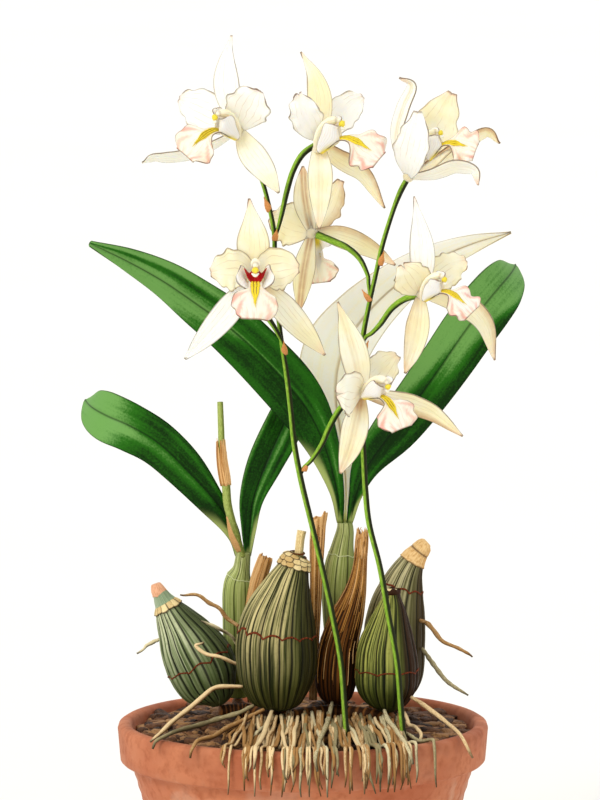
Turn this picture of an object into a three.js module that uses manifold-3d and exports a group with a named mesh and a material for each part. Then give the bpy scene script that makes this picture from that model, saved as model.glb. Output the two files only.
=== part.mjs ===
// Potted laelia orchid: seven flowers on two scapes, five leaves, two young shoots and five
// pseudobulbs with spreading roots, in a plain clay pan filled with bark.
// Millimetres, +Z up, the front of the plant faces -Y. The origin is the middle of the pan's base.

import * as THREE from "three";
import Module from "manifold-3d";

const manifold = await Module();
manifold.setup();

// Pan
const PAN_HEIGHT = 80;
const PAN_RIM_RADIUS = 76;
const PAN_RIM_DEPTH = 16;
const PAN_RIM_THICK = 6;
const PAN_SHOULDER_RADIUS = 72;
const PAN_BASE_RADIUS = 52;
const PAN_WALL = 5;
const PAN_FLOOR = 7;
const PAN_SIDES = 36;
const DRAIN_RADIUS = 5;
const DRAIN_DISTANCE = 27;

// Bark that fills the pan
const BARK_GAP = 0.3;
const BARK_CROWN = 80;
const BARK_EDGE = 77;

// Plant
const VIEW_TILT = THREE.MathUtils.degToRad(7);
const LEAF_THICK = 1.2;
const TEPAL_THICK = 0.8;
const LIP_THICK = 0.8;
const HUB_RADIUS = 2.3;
const SEAT_GAP = 0.4;

// Width of a sepal and of a petal from its base to its tip, as parts of the largest width
const SEPAL_SHAPE = [0.28, 0.72, 1, 0.92, 0.6, 0.07];
const PETAL_SHAPE = [0.22, 0.72, 1, 0.98, 0.72, 0.2];

const COLOURS = {
  clay: 0xb5653c,
  bark: 0x5a4030,
  bulb: 0x5e6638,
  bulbPale: 0x9fb08e,
  dry: 0x7a4a20,
  shoot: 0x9db176,
  leaf: 0x2f7a2c,
  leafPale: 0xefe6cf,
  scape: 0x86a844,
  root: 0xcdb48f,
  tepal: 0xfbf2df,
  lip: 0xf8ddd0,
  column: 0xf2e3a0,
};

const model = new THREE.Group();
model.name = "potted_laelia_orchid";

function add(name, geometry, colour, roughness = 0.6) {
  const material = new THREE.MeshStandardMaterial({ color: colour, roughness, metalness: 0 });
  const mesh = new THREE.Mesh(geometry, material);
  mesh.name = name;
  model.add(mesh);
}

// A point of the front drawing: across, up as seen from VIEW_TILT above, and depth behind the axis
function at([across, up, depth]) {
  const height = (up - depth * Math.sin(VIEW_TILT)) / Math.cos(VIEW_TILT);
  return new THREE.Vector3(across, depth, height);
}

// Smooth value at t (0 to 1) through evenly spaced values
function spline(values, t) {
  const last = values.length - 1;
  const place = Math.min(Math.max(t, 0), 1) * last;
  const i = Math.min(Math.floor(place), last - 1);
  const s = place - i;
  const a = values[i];
  const b = values[i + 1];
  const before = i > 0 ? values[i - 1] : 2 * a - b;
  const after = i + 2 <= last ? values[i + 2] : 2 * b - a;
  const m0 = (b - before) / 2;
  const m1 = (after - a) / 2;
  const s2 = s * s;
  const s3 = s2 * s;
  return (2 * s3 - 3 * s2 + 1) * a + (s3 - 2 * s2 + s) * m0 + (3 * s2 - 2 * s3) * b + (s3 - s2) * m1;
}

function pointOn(points, t) {
  const axes = ["x", "y", "z"];
  return new THREE.Vector3(...axes.map((axis) => spline(points.map((p) => p[axis]), t)));
}

function tangentOn(points, t) {
  const ahead = pointOn(points, Math.min(t + 0.01, 1));
  return ahead.sub(pointOn(points, Math.max(t - 0.01, 0))).normalize();
}

// Closed geometry from points and faces, turned outward if its volume comes out negative
function solid(points, faces) {
  let volume = 0;
  for (const [a, b, c] of faces) {
    volume += points[a].dot(points[b].clone().cross(points[c]));
  }
  const outward = volume < 0 ? faces.map(([a, b, c]) => [a, c, b]) : faces;
  const geometry = new THREE.BufferGeometry();
  const numbers = points.flatMap((point) => point.toArray());
  geometry.setAttribute("position", new THREE.Float32BufferAttribute(numbers, 3));
  geometry.setIndex(outward.flat());
  geometry.computeVertexNormals();
  return geometry;
}

// Round stem, bulb or root through points that have a radius each, with raised ribs on request
function limb(points, radii, { sides = 6, steps = 8, rib = 0 } = {}) {
  const vertices = [];
  const faces = [];
  let normal = null;
  for (let i = 0; i <= steps; i += 1) {
    const t = i / steps;
    const tangent = tangentOn(points, t);
    const guess = normal ?? new THREE.Vector3(0.9, -0.35, 0.1);
    normal = guess.clone().addScaledVector(tangent, -guess.dot(tangent)).normalize();
    const binormal = tangent.clone().cross(normal);
    const radius = Math.max(spline(radii, t), 0.15);
    for (let j = 0; j < sides; j += 1) {
      const angle = (j / sides) * 2 * Math.PI;
      const reach = radius * (j % 2 ? 1 - rib : 1);
      const point = pointOn(points, t);
      point.addScaledVector(normal, reach * Math.cos(angle));
      point.addScaledVector(binormal, reach * Math.sin(angle));
      vertices.push(point);
    }
  }
  for (let i = 0; i < steps; i += 1) {
    for (let j = 0; j < sides; j += 1) {
      const k = (j + 1) % sides;
      const low = i * sides;
      const high = low + sides;
      faces.push([low + j, low + k, high + k], [low + j, high + k, high + j]);
    }
  }
  const top = steps * sides;
  vertices.push(points[0].clone(), points.at(-1).clone());
  for (let j = 0; j < sides; j += 1) {
    const k = (j + 1) % sides;
    faces.push([vertices.length - 2, k, j], [vertices.length - 1, top + j, top + k]);
  }
  return solid(vertices, faces);
}

// Leaf, sepal or petal along a midrib. Left and right are half widths, seen with the tip upward.
// At turn 0 it faces the front; fold lifts both edges toward the front by that part of the width.
function blade(points, left, right, { turn = [0, 0], fold = 0, thick = 1, steps = 6, across = 1 } = {}) {
  const front = [];
  const back = [];
  for (let i = 0; i <= steps; i += 1) {
    const t = i / steps;
    const centre = pointOn(points, t);
    const tangent = tangentOn(points, t);
    const flat = new THREE.Vector3(tangent.z, 0, -tangent.x).normalize();
    const angle = THREE.MathUtils.degToRad(spline(turn, t));
    const side = flat.clone().applyAxisAngle(tangent, -angle);
    const normal = side.clone().cross(tangent).normalize();
    const edges = [Math.max(spline(left, t), 0.2), Math.max(spline(right, t), 0.2)];
    for (let j = -across; j <= across; j += 1) {
      const part = j / across;
      const offset = part * (j < 0 ? edges[0] : edges[1]);
      const lift = fold * Math.abs(offset);
      const point = centre.clone().addScaledVector(side, offset).addScaledVector(normal, lift);
      front.push(point.clone().addScaledVector(normal, thick / 2));
      back.push(point.addScaledVector(normal, -thick / 2));
    }
  }
  const columns = 2 * across + 1;
  const count = front.length;
  const faces = [];
  const quad = (a, b, c, d) => faces.push([a, b, c], [a, c, d]);
  for (let i = 0; i < steps; i += 1) {
    const row = i * columns;
    const next = row + columns;
    for (let j = 0; j < columns - 1; j += 1) {
      quad(row + j, row + j + 1, next + j + 1, next + j);
      quad(count + row + j + 1, count + row + j, count + next + j, count + next + j + 1);
    }
    quad(count + row, row, next, count + next);
    quad(row + columns - 1, count + row + columns - 1, count + next + columns - 1, next + columns - 1);
  }
  for (let j = 0; j < columns - 1; j += 1) {
    quad(count + j, count + j + 1, j + 1, j);
    const end = steps * columns + j;
    quad(end, end + 1, count + end + 1, count + end);
  }
  return solid([...front, ...back], faces);
}

function toManifold(geometry) {
  const mesh = new manifold.Mesh({
    numProp: 3,
    vertProperties: new Float32Array(geometry.getAttribute("position").array),
    triVerts: new Uint32Array(geometry.index.array),
  });
  mesh.merge();
  return new manifold.Manifold(mesh);
}

function fromManifold(body) {
  const mesh = body.getMesh();
  const geometry = new THREE.BufferGeometry();
  geometry.setAttribute("position", new THREE.Float32BufferAttribute(mesh.vertProperties, 3));
  geometry.setIndex([...mesh.triVerts]);
  geometry.computeVertexNormals();
  return geometry;
}

function join(...geometries) {
  return fromManifold(manifold.Manifold.union(geometries.map(toManifold)));
}

// Stations are drawing points with the radius as a fourth number
function stem(name, stations, colour, options) {
  add(name, limb(stations.map(at), stations.map((s) => s[3]), options), colour, 0.6);
}

// Pan with a rim band and three drain holes around a solid middle
function makePan() {
  const rimFoot = PAN_HEIGHT - PAN_RIM_DEPTH;
  const inside = PAN_RIM_RADIUS - PAN_RIM_THICK;
  const profile = [
    [0, 0],
    [PAN_BASE_RADIUS, 0],
    [PAN_SHOULDER_RADIUS - 1.5, rimFoot],
    [PAN_RIM_RADIUS - 1, rimFoot],
    [PAN_RIM_RADIUS, PAN_HEIGHT - 2],
    [PAN_RIM_RADIUS - 2, PAN_HEIGHT],
    [inside + 1, PAN_HEIGHT],
    [inside, PAN_HEIGHT - 2],
    [PAN_SHOULDER_RADIUS - PAN_WALL, rimFoot],
    [PAN_BASE_RADIUS - PAN_WALL + 1, PAN_FLOOR],
    [0, PAN_FLOOR],
  ];
  const outline = profile.map(([radius, height]) => new THREE.Vector2(radius, height));
  const lathe = new THREE.LatheGeometry(outline, PAN_SIDES).rotateX(Math.PI / 2);
  let body = toManifold(lathe);
  for (let i = 0; i < 3; i += 1) {
    const angle = (i / 3) * 2 * Math.PI + Math.PI / 2;
    const drill = new THREE.CylinderGeometry(DRAIN_RADIUS, DRAIN_RADIUS, PAN_FLOOR * 4, 12);
    drill.rotateX(Math.PI / 2);
    drill.translate(DRAIN_DISTANCE * Math.cos(angle), DRAIN_DISTANCE * Math.sin(angle), 0);
    body = body.subtract(toManifold(drill));
  }
  return fromManifold(body);
}

function makeBark() {
  const rimFoot = PAN_HEIGHT - PAN_RIM_DEPTH;
  const inside = PAN_RIM_RADIUS - PAN_RIM_THICK - BARK_GAP;
  const profile = [
    [0, PAN_FLOOR + BARK_GAP],
    [PAN_BASE_RADIUS - PAN_WALL, PAN_FLOOR + BARK_GAP],
    [PAN_SHOULDER_RADIUS - PAN_WALL - 2 * BARK_GAP, rimFoot],
    [inside - 0.2, BARK_EDGE - 1],
    [inside - 3, BARK_EDGE],
    [inside * 0.55, BARK_CROWN - 0.4],
    [0, BARK_CROWN],
  ];
  const outline = profile.map(([radius, height]) => new THREE.Vector2(radius, height));
  const lathe = new THREE.LatheGeometry(outline, PAN_SIDES).rotateX(Math.PI / 2);
  return fromManifold(toManifold(lathe));
}

add("pan", makePan(), COLOURS.clay, 0.85);
add("bark_medium", makeBark(), COLOURS.bark, 0.95);

// Creeping rhizome under the bulbs, lying on the bark
const RHIZOME_RADIUS = 2.9;
const RHIZOME_LEVEL = BARK_CROWN + RHIZOME_RADIUS + SEAT_GAP;

function runner(places) {
  const points = places.map(([x, y]) => new THREE.Vector3(x, y, RHIZOME_LEVEL));
  const radii = places.map((place, i) => (i === 0 || i === places.length - 1 ? 0.8 : 1) * RHIZOME_RADIUS);
  return limb(points, radii, { sides: 6, steps: places.length * 2 - 2 });
}

add("rhizome", join(
  runner([[-34, 3], [-28, 5], [-21, 4], [-11, -11], [3, -2], [14, 1], [25, -4], [36, -14]]),
  runner([[-22, 4], [-26, 12], [-27, 23]]),
  runner([[4, -2], [6, 11], [17, 21]]),
  runner([[24, -4], [31, 6], [39, 19]]),
), COLOURS.dry, 0.8);

// Pseudobulbs, each from its base up, with the radius as fourth number
stem("pseudobulb_centre", [
  [-10.4, 84.3, -14, 3.5], [-10.4, 87.4, -14, 10], [-10.8, 95.5, -14, 15],
  [-10.8, 104.7, -14, 16.6], [-10.8, 114.7, -14, 16.2],
  [-9.2, 124.7, -14, 13.9], [-6.5, 134.7, -14, 9.6], [-4.2, 141.7, -13, 6.7],
  [-2.7, 146.3, -13, 5.4], [-1.9, 148.6, -13, 2.3],
  [-1.2, 153.2, -13, 1.9], [-0.8, 157.8, -12, 1.9],
], COLOURS.bulb, { sides: 16, steps: 14, rib: 0.07 });

stem("pseudobulb_left", [
  [-34.6, 85.6, 3, 2.7], [-35.8, 89.3, 3, 8.5], [-38.9, 95.1, 3, 13.1], [-42, 102.4, 3, 14.2],
  [-45.8, 109.3, 3, 13.1],
  [-49.7, 116.2, 3, 10.4], [-53.9, 123.2, 2, 7.3], [-55.8, 126.6, 2, 6.2], [-57.4, 129.3, 2, 4.2],
  [-59.3, 133.2, 1, 2.7], [-60.1, 135.9, 1, 1.9],
], COLOURS.bulbPale, { sides: 16, steps: 11, rib: 0.07 });

stem("pseudobulb_right_front", [
  [34.6, 83.9, -14, 3.1], [34.6, 87.4, -14, 8.5], [34.3, 93.9, -14, 12.3], [34.3, 101.6, -14, 12.7],
  [34.3, 109.3, -14, 11.9],
  [35, 117, -14, 9.6], [35.8, 124.7, -14, 6.5], [36.2, 130.1, -13, 3.9], [36.2, 134, -13, 3.3],
], COLOURS.bulb, { sides: 16, steps: 10, rib: 0.07 });

stem("pseudobulb_right_back", [
  [37, 87.2, 13, 3.5], [37.3, 90.8, 13, 8.9], [37.7, 98.5, 13, 11.9], [37.7, 108.5, 13, 12.7],
  [38.1, 118.6, 13, 12.3],
  [39.3, 127.8, 13, 10.8], [41.6, 136.7, 13, 7.7], [44.3, 143.2, 13, 5.8], [47.4, 147.8, 13, 4.2],
  [50.4, 151.7, 13, 2.3],
], COLOURS.bulb, { sides: 16, steps: 11, rib: 0.06 });

stem("pseudobulb_sheathed", [
  [13.5, 86.2, 0, 2.7], [13.5, 88.9, 0, 6.5], [13.5, 95.5, 0, 8.5], [13.9, 103.2, 0, 8.5],
  [15, 111.6, 0, 7.7],
  [18.1, 122, -1, 6.9], [21.2, 131.6, -2, 4.6], [23.1, 141.3, -2, 2.9], [23.9, 150.1, -2, 2.3],
  [24.3, 157.1, -2, 2.5],
], COLOURS.dry, { sides: 12, steps: 11, rib: 0.08 });

// Young shoots that carry the leaves
stem("shoot_left", [
  [-26.9, 88.1, 19, 3.5], [-26.9, 96.2, 19, 5], [-26.9, 108.5, 19, 6], [-26.9, 122, 19, 6.4],
  [-26.9, 131.6, 19, 6.2],
  [-26.2, 137.4, 19, 5], [-25, 141.3, 18, 3.7], [-24.6, 146.3, 17, 3.1],
], COLOURS.shoot, { sides: 12, steps: 10, rib: 0.06 });

stem("shoot_right", [
  [16.9, 88.1, 17, 3.5], [16.6, 96.2, 17, 4.6], [15.4, 108.5, 17, 5.8], [14.6, 122, 17, 6.5],
  [14.6, 133.6, 17, 6.7],
  [15.4, 144, 17, 6], [16.6, 152.1, 17, 3.9], [17.3, 159.8, 17, 3.5],
], COLOURS.shoot, { sides: 12, steps: 10, rib: 0.06 });

// Dry remains of older growth
stem("sheath_tall", [
  [4.2, 87.4, 11, 1.9], [4.2, 104.7, 11, 2.3], [5.8, 122, 10, 2.7], [7.7, 139.3, 9, 2.7],
  [8.9, 152.8, 9, 2.5], [9.6, 164.4, 9, 2.1],
], COLOURS.dry, { sides: 6, steps: 7 });

stem("stub_brown", [
  [-21.2, 86.6, 4.5, 1.5], [-21.9, 104.7, 5.5, 1.9], [-21.9, 120.1, 5, 2.1], [-19.2, 134, 4, 2.1],
  [-15.4, 145.9, 3, 2.3],
], COLOURS.dry, { sides: 6, steps: 5 });

stem("spike_old", [
  [-24.6, 146.7, 14.6, 1.2], [-28.1, 157.8, 11, 1.5], [-30.8, 167.8, 9, 1.6],
  [-31.6, 177.1, 8, 1.6], [-33.1, 187.5, 8, 1.5],
  [-33.5, 199, 8, 1.3], [-33.9, 210.2, 8, 1.2],
], COLOURS.shoot, { sides: 6, steps: 8 });

// Leaves: stations of the midrib from base to tip, then half widths left and right
function leaf(name, stations, left, right, turn, colour = COLOURS.leaf) {
  const shape = { turn, fold: 0.16, thick: LEAF_THICK, steps: 12, across: 2 };
  add(name, blade(stations.map(at), left, right, shape), colour, 0.45);
}

leaf("leaf_long_left", [
  [15.4, 160.5, 16], [13.9, 174, 13], [8.9, 192.5, 10], [1.9, 207.1, 8], [-7.3, 218.7, 6],
  [-20, 231.7, 3], [-31.2, 241.4, 0],
  [-43.5, 250.2, -4], [-56.6, 259.1, -9], [-71.2, 267.2, -15], [-85.9, 274.1, -22],
],
[1.3, 3.1, 7.7, 11.2, 11.9, 11.2, 10, 8.5, 5.4, 3.1, 0.2],
[1.3, 3.1, 6.2, 9.2, 11.2, 11.2, 11.2, 10.4, 8.9, 5, 0.2],
[10, 0]);

leaf("leaf_right", [
  [19.2, 160.5, 16], [21.9, 172.5, 13], [26.9, 184.4, 11], [37, 198.3, 11], [47.7, 212.1, 12],
  [57.4, 226, 13], [66.6, 239.4, 16],
  [74.7, 250.2, 21], [81.2, 257.9, 29], [85.9, 263.3, 39], [88.5, 267.2, 50],
],
[1.2, 3.1, 6.9, 9.2, 10, 10, 10.4, 10.4, 9.6, 6.9, 0.2],
[1.2, 2.7, 5.4, 9.6, 10.8, 11.6, 11.9, 11.9, 10.8, 7.7, 0.2],
[-8, 0]);

leaf("leaf_pale_behind", [
  [17.3, 160.5, 19.6], [17.7, 175.9, 22], [15.8, 195.2, 28], [13.5, 214.4, 31], [16.2, 231, 33],
  [25.8, 246, 34], [38.9, 258.7, 34],
  [53.5, 268.3, 33], [69.7, 275.3, 31], [85.5, 279.9, 28],
],
[1.2, 3.5, 8.5, 14.6, 16.2, 13.1, 9.6, 6.9, 3.9, 0.2],
[1.2, 3.5, 6.9, 10, 11.2, 10.4, 8.9, 6.5, 3.9, 0.2],
[0, 0], COLOURS.leafPale);

leaf("leaf_low_left", [
  [-26.6, 146.7, 17], [-28.1, 155.5, 16], [-34.6, 167.8, 14], [-47, 181.7, 11], [-58.9, 193.2, 9],
  [-70.5, 200.2, 9], [-80.1, 204.4, 13],
  [-86.6, 207.9, 22], [-90.1, 211, 34],
],
[1.2, 3.1, 6.9, 8.5, 9.6, 10.4, 10.4, 7.7, 0.2],
[1, 2.3, 3.5, 7.7, 8.9, 9.6, 10, 7.3, 0.2],
[0, 0]);

leaf("leaf_back_left", [
  [-22.7, 146.7, 17], [-21.9, 157.8, 19], [-20.4, 170.1, 21], [-15.4, 184.4, 23], [-8.5, 199.8, 27],
  [-4.6, 209.8, 34], [-2.3, 217.5, 45],
],
[1.2, 3.5, 5.8, 7.7, 7.7, 5.8, 0.2],
[1.2, 2.7, 4.2, 6.9, 8.1, 5.8, 0.2],
[0, 0]);

// Scapes, each with its bracts
function scape(name, stations, bracts) {
  const stalk = limb(stations.map(at), stations.map((s) => s[3]), { sides: 5, steps: 22 });
  const scales = bracts.map((bract) => limb(bract.map(at), [1.2, 1.7, 0.3], { sides: 5, steps: 3 }));
  add(name, join(stalk, ...scales), COLOURS.scape, 0.5);
}

scape("scape_left", [
  [17.7, 75.4, -34, 1.2], [16.9, 85.8, -31, 1.2], [15.4, 104.7, -27, 1.2], [11.9, 123.9, -23, 1.2],
  [7.7, 143.2, -20, 1.2],
  [3.1, 162.4, -18, 1.2], [-0.8, 178.6, -18, 1.2], [-3.5, 193.2, -18, 1.2], [-5, 207.5, -18, 1.1],
  [-6.5, 220.6, -18, 1.1],
  [-8.5, 233.7, -17, 1], [-10.4, 248.3, -16, 1], [-11.6, 262.5, -15, 1], [-11.6, 277.9, -15, 1],
  [-14.2, 291.4, -14, 0.9],
  [-18.1, 303, -13, 1], [-21.9, 312.6, -11, 1.2], [-26.4, 323.8, -10, 1.3],
], [
  [[-8.1, 230.6, -17], [-7.7, 233.3, -19], [-6.2, 235.2, -20]],
  [[-11.6, 276.4, -15], [-11.2, 278.7, -17], [-9.6, 280.6, -18]],
  [[-13.9, 288.7, -14], [-15, 291.4, -16], [-15.8, 294.1, -17]],
]);

scape("scape_right", [
  [40.8, 73.9, -36, 1.2], [39.7, 85.8, -35, 1.2], [38.1, 104.7, -33, 1.2], [34.6, 123.9, -31, 1.2],
  [31.2, 143.2, -29, 1.2],
  [26.9, 160.5, -25, 1.2], [25.4, 174, -21, 1.2], [24.6, 189.4, -17, 1.2], [23.9, 204.8, -14, 1.1],
  [23.9, 220.2, -12, 1.1],
  [24.3, 235.6, -12, 1.1], [26.6, 248.7, -12, 1], [29.3, 261, -12, 1], [32.3, 274.1, -12, 1],
  [36.2, 286.8, -12, 1],
  [39.7, 296, -12, 1.1], [43.9, 304.1, -12, 1.3],
], [
  [[24.3, 231, -12], [25.8, 233.3, -13], [27.3, 235.2, -14]],
  [[27.3, 251.8, -12], [25.8, 254.5, -11], [24.6, 257.9, -10]],
  [[31.2, 267.9, -12], [32.3, 269.9, -14], [33.1, 272.6, -15]],
]);

// Flower stalks from their scape to the back of each flower
stem("pedicel_2", [
  [-10, 280.6, -15, 0.8], [-8.5, 286.4, -15, 0.9], [-6.2, 295.3, -15, 1.1], [-3.9, 303.4, -15, 1.2],
  [0.8, 311.4, -15, 1.3],
  [5.8, 318.8, -14, 1.4],
], COLOURS.scape, { sides: 5, steps: 7 });

stem("pedicel_3", [
  [-8.5, 234.8, -19.4, 0.8], [-11.2, 239.8, -21.5, 1], [-14.6, 245.2, -23, 1.2],
  [-17.7, 251.8, -24, 1.3], [-19.6, 257.9, -24, 1.4],
], COLOURS.scape, { sides: 5, steps: 6 });

stem("pedicel_4", [
  [0.4, 183.6, -18, 0.8], [3.5, 186.7, -19, 0.9], [7.7, 193.2, -21, 1.1], [10.8, 200.2, -23, 1.2],
  [15.4, 207.9, -25, 1.3],
  [21.2, 212.5, -27, 1.4],
], COLOURS.scape, { sides: 5, steps: 7 });

stem("pedicel_6", [
  [25.8, 236.8, -13, 0.8], [28.1, 238.3, -14, 0.9], [31.6, 242.1, -16, 1.1],
  [35.8, 247.9, -18, 1.2], [41.2, 251.8, -20, 1.3],
  [46.2, 255.2, -21, 1.4],
], COLOURS.scape, { sides: 5, steps: 7 });

stem("pedicel_7", [
  [26.2, 257.9, -11, 0.8], [26.2, 261.8, -9, 0.9], [23.1, 268.3, -6, 1.1], [18.1, 272.9, -3, 1.2],
  [12.3, 275.6, 0, 1.4],
  [5.8, 278.3, 3, 1.5],
], COLOURS.scape, { sides: 5, steps: 7 });

// Flowers
function part(shape, size) {
  return shape.map((share) => (share * size) / 2);
}

// Each petal or sepal: [shape, full width, turn at base and tip, stations after the hub]
function tepals(name, hub, face, blades) {
  const centre = at(hub);
  const ahead = new THREE.Vector3(...face).normalize();
  const knob = limb(
    [-1.6, -0.6, 0.8, 2.1].map((along) => centre.clone().addScaledVector(ahead, along)),
    [0.5, 0.95, 1, 0.4].map((share) => share * HUB_RADIUS),
    { sides: 8, steps: 4 },
  );
  const leaves = blades.map(([shape, width, turn, stations]) => {
    const halves = part(shape, width);
    const points = [centre, ...stations.map(at)];
    return blade(points, halves, halves, { turn, fold: 0.12, thick: TEPAL_THICK, steps: 4 });
  });
  add(name, join(knob, ...leaves), COLOURS.tepal, 0.55);
}

// Lip and column in the flower's own axes: ahead of the hub, up along the column, and to the side.
// A droop of 1 bends the middle lobe straight down, 0 leaves it pointing ahead.
function lipAndColumn(number, hub, face, crown, { droop = 1, size = 1 }) {
  const centre = at(hub);
  const ahead = new THREE.Vector3(...face).normalize();
  const up = new THREE.Vector3(...crown);
  up.addScaledVector(ahead, -up.dot(ahead)).normalize();
  const side = up.clone().cross(ahead);
  const place = ([f, u, s]) => centre.clone()
    .addScaledVector(ahead, f * size)
    .addScaledVector(up, u * size)
    .addScaledVector(side, s * size);
  const basis = new THREE.Matrix4().makeBasis(side, ahead.clone().negate(), up).setPosition(centre);
  const local = ([f, u, s]) => new THREE.Vector3(s * size, -f * size, u * size);
  const lobe = (stations, widths, turn, steps) => blade(
    stations.map(local),
    widths.map((w) => w * size),
    widths.map((w) => w * size),
    { turn, fold: 0.15, thick: LIP_THICK, steps },
  ).applyMatrix4(basis);
  const bent = (f0, u0, f1, u1) => [f0 + (f1 - f0) * droop, u0 + (u1 - u0) * droop, 0];
  const middle = lobe(
    [[2.8, -1.6, 0], [7, -3.4, 0], [11.5, -4.2, 0], bent(16, -5, 15, -6.5), bent(20, -6.5, 17, -10.5),
      bent(23.5, -9, 17, -15)],
    [1.3, 3, 3.2, 7.6, 8.6, 3.4],
    [0, 0],
    5,
  );
  const wing = (hand) => lobe(
    [[5, -3, 1.6 * hand], [7, -1.6, 4.2 * hand], [9, 1.6, 5.6 * hand], [10.5, 5, 5.4 * hand]],
    [2, 4.2, 4.2, 1.6],
    [60 * hand, 60 * hand],
    3,
  );
  add(`flower_${number}_lip`, join(middle, wing(1), wing(-1)), COLOURS.lip, 0.55);
  const column = limb(
    [[2.5, 1.5, 0], [6.5, 2.7, 0], [10, 3.3, 0], [13, 2.6, 0]].map(place),
    [1, 1.5, 1.8, 1.2].map((radius) => radius * size),
    { sides: 6, steps: 5 },
  );
  add(`flower_${number}_column`, column, COLOURS.column, 0.5);
}

function flower(number, hub, face, crown, lip, blades) {
  tepals(`flower_${number}_tepals`, hub, face, blades);
  lipAndColumn(number, hub, face, crown, lip);
}

flower(1, [-27.3, 326.5, -12], [-0.78, -0.5, -0.22], [0, 0, 1], { droop: 0.5, size: 1.12 }, [
  [SEPAL_SHAPE, 10.8, [20, 10], [[-31.2, 337.2, -12], [-30.8, 348, -10], [-28.9, 358.8, -7]]],
  [PETAL_SHAPE, 17.7, [0, 0], [[-24.3, 329.5, -19], [-20.8, 332.6, -25], [-17.3, 334.2, -28]]],
  [PETAL_SHAPE, 16.2, [0, 0], [[-37.3, 329.2, -5], [-44.3, 331.5, 0], [-51.2, 332.6, 4]]],
  [SEPAL_SHAPE, 7.7, [50, 50], [[-39.7, 316.4, 0], [-52, 310.7, 5], [-60.4, 310.3, 7],
  [-65.5, 307.6, 8]]],
  [SEPAL_SHAPE, 10.8, [0, 0], [[-23.1, 315.7, -17], [-15.8, 304.9, -20], [-9.6, 294.5, -20]]],
]);

flower(2, [8.1, 322.2, -14], [0.82, -0.5, -0.05], [0, 0, 1], { droop: 0.4, size: 1.12 }, [
  [SEPAL_SHAPE, 10, [-20, -10], [[6.5, 331.1, -14], [4.6, 342.2, -12], [-0.8, 351.5, -11]]],
  [PETAL_SHAPE, 16.2, [0, 0], [[3.1, 325.7, -20], [-0.8, 329.2, -25], [-4.6, 332.6, -28]]],
  [PETAL_SHAPE, 13.1, [0, 0], [[13.9, 327.2, -6], [18.9, 331.5, 0], [23.9, 334.5, 5]]],
  [SEPAL_SHAPE, 9.2, [-30, -30], [[13.5, 311.8, -8], [24.6, 303.4, -6], [33.1, 288.7, -6]]],
  [SEPAL_SHAPE, 10, [0, 0], [[7.3, 307.6, -20], [6.9, 293.3, -22], [6.5, 279.9, -21]]],
]);

flower(3, [-19.6, 261.4, -26], [0, -1, -0.12], [0, 0, 1], { droop: 1 }, [
  [SEPAL_SHAPE, 13.1, [0, 0], [[-20, 272.2, -26], [-20.4, 281.8, -25], [-21.6, 292.2, -22]]],
  [PETAL_SHAPE, 16.6, [0, 0], [[-25.8, 263.3, -27], [-31.2, 263.3, -28], [-37.3, 262.5, -27]]],
  [PETAL_SHAPE, 17.3, [0, 0], [[-13.5, 263.3, -27], [-7.7, 264.1, -28], [-1.5, 264.1, -27]]],
  [SEPAL_SHAPE, 10.8, [0, 0], [[-27.7, 250.2, -25], [-37.7, 238.3, -24], [-47.7, 227.5, -21]]],
  [SEPAL_SHAPE, 10.8, [0, 0], [[-9.6, 250.2, -25], [0, 239.4, -25], [8.9, 229.1, -23]]],
]);

flower(4, [23.9, 214.4, -28], [0.76, -0.62, -0.1], [0, 0, 1], { droop: 0.9 }, [
  [SEPAL_SHAPE, 11.6, [-15, -10], [[21.2, 227.1, -29], [17.7, 239.4, -28], [13.9, 250.6, -25]]],
  [PETAL_SHAPE, 16.9, [0, 0], [[20, 214.4, -34], [16.6, 214, -39], [13.1, 213.3, -41]]],
  [PETAL_SHAPE, 13.9, [0, 0], [[28.1, 219.4, -22], [33.1, 224, -16], [37.7, 227.9, -11]]],
  [SEPAL_SHAPE, 9.2, [-20, -20], [[37.3, 211, -23], [51.6, 206.3, -21], [64.7, 196.3, -21]]],
  [SEPAL_SHAPE, 10.8, [0, 0], [[21.6, 202.9, -32], [18.9, 191.7, -34], [15, 181.3, -33]]],
]);

flower(5, [45, 306.4, -12], [0.7, -0.3, 0.75], [-0.7, 0, 0.7], { droop: 0.1 }, [
  [SEPAL_SHAPE, 10, [60, 60], [[38.5, 315.7, -11], [40.4, 328, -10], [44.3, 338, -9], [38.9, 341.1, -9]]],
  [PETAL_SHAPE, 12.3, [45, 0], [[43.9, 308.8, -20], [45.4, 317.2, -26], [46.6, 327.2, -28]]],
  [PETAL_SHAPE, 13.1, [-25, -15], [[48.5, 314.1, -2], [54.7, 325.3, 5], [60.8, 336.1, 10]]],
  [SEPAL_SHAPE, 8.5, [-45, -45], [[52.4, 307.2, -2], [64.3, 314.5, 3], [74.7, 319.9, 5],
  [80.1, 315.3, 6]]],
  [SEPAL_SHAPE, 9.2, [-50, -50], [[51.6, 302.6, -17], [61.2, 305.3, -20], [68.9, 303.7, -21],
  [70.5, 297.6, -20]]],
]);

flower(6, [49.7, 258.7, -22], [0.8, -0.5, -0.15], [0, 0, 1], { droop: 0.8 }, [
  [SEPAL_SHAPE, 10.4, [-15, -10], [[48.1, 269.5, -22], [47, 281, -18], [45, 293.3, -13]]],
  [PETAL_SHAPE, 16.9, [0, 0], [[45.4, 259.9, -28], [42.4, 262.2, -32], [39.3, 264.1, -34]]],
  [PETAL_SHAPE, 13.9, [0, 0], [[54.7, 262.2, -15], [60.1, 265.2, -10], [65.8, 267.2, -6]]],
  [SEPAL_SHAPE, 10, [-20, -20], [[62, 251.8, -15], [73.2, 242.9, -13], [77.8, 227.1, -12]]],
  [SEPAL_SHAPE, 9.6, [0, 0], [[47.4, 245.2, -25], [45, 232.9, -26], [41.2, 221.7, -24]]],
]);

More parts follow.
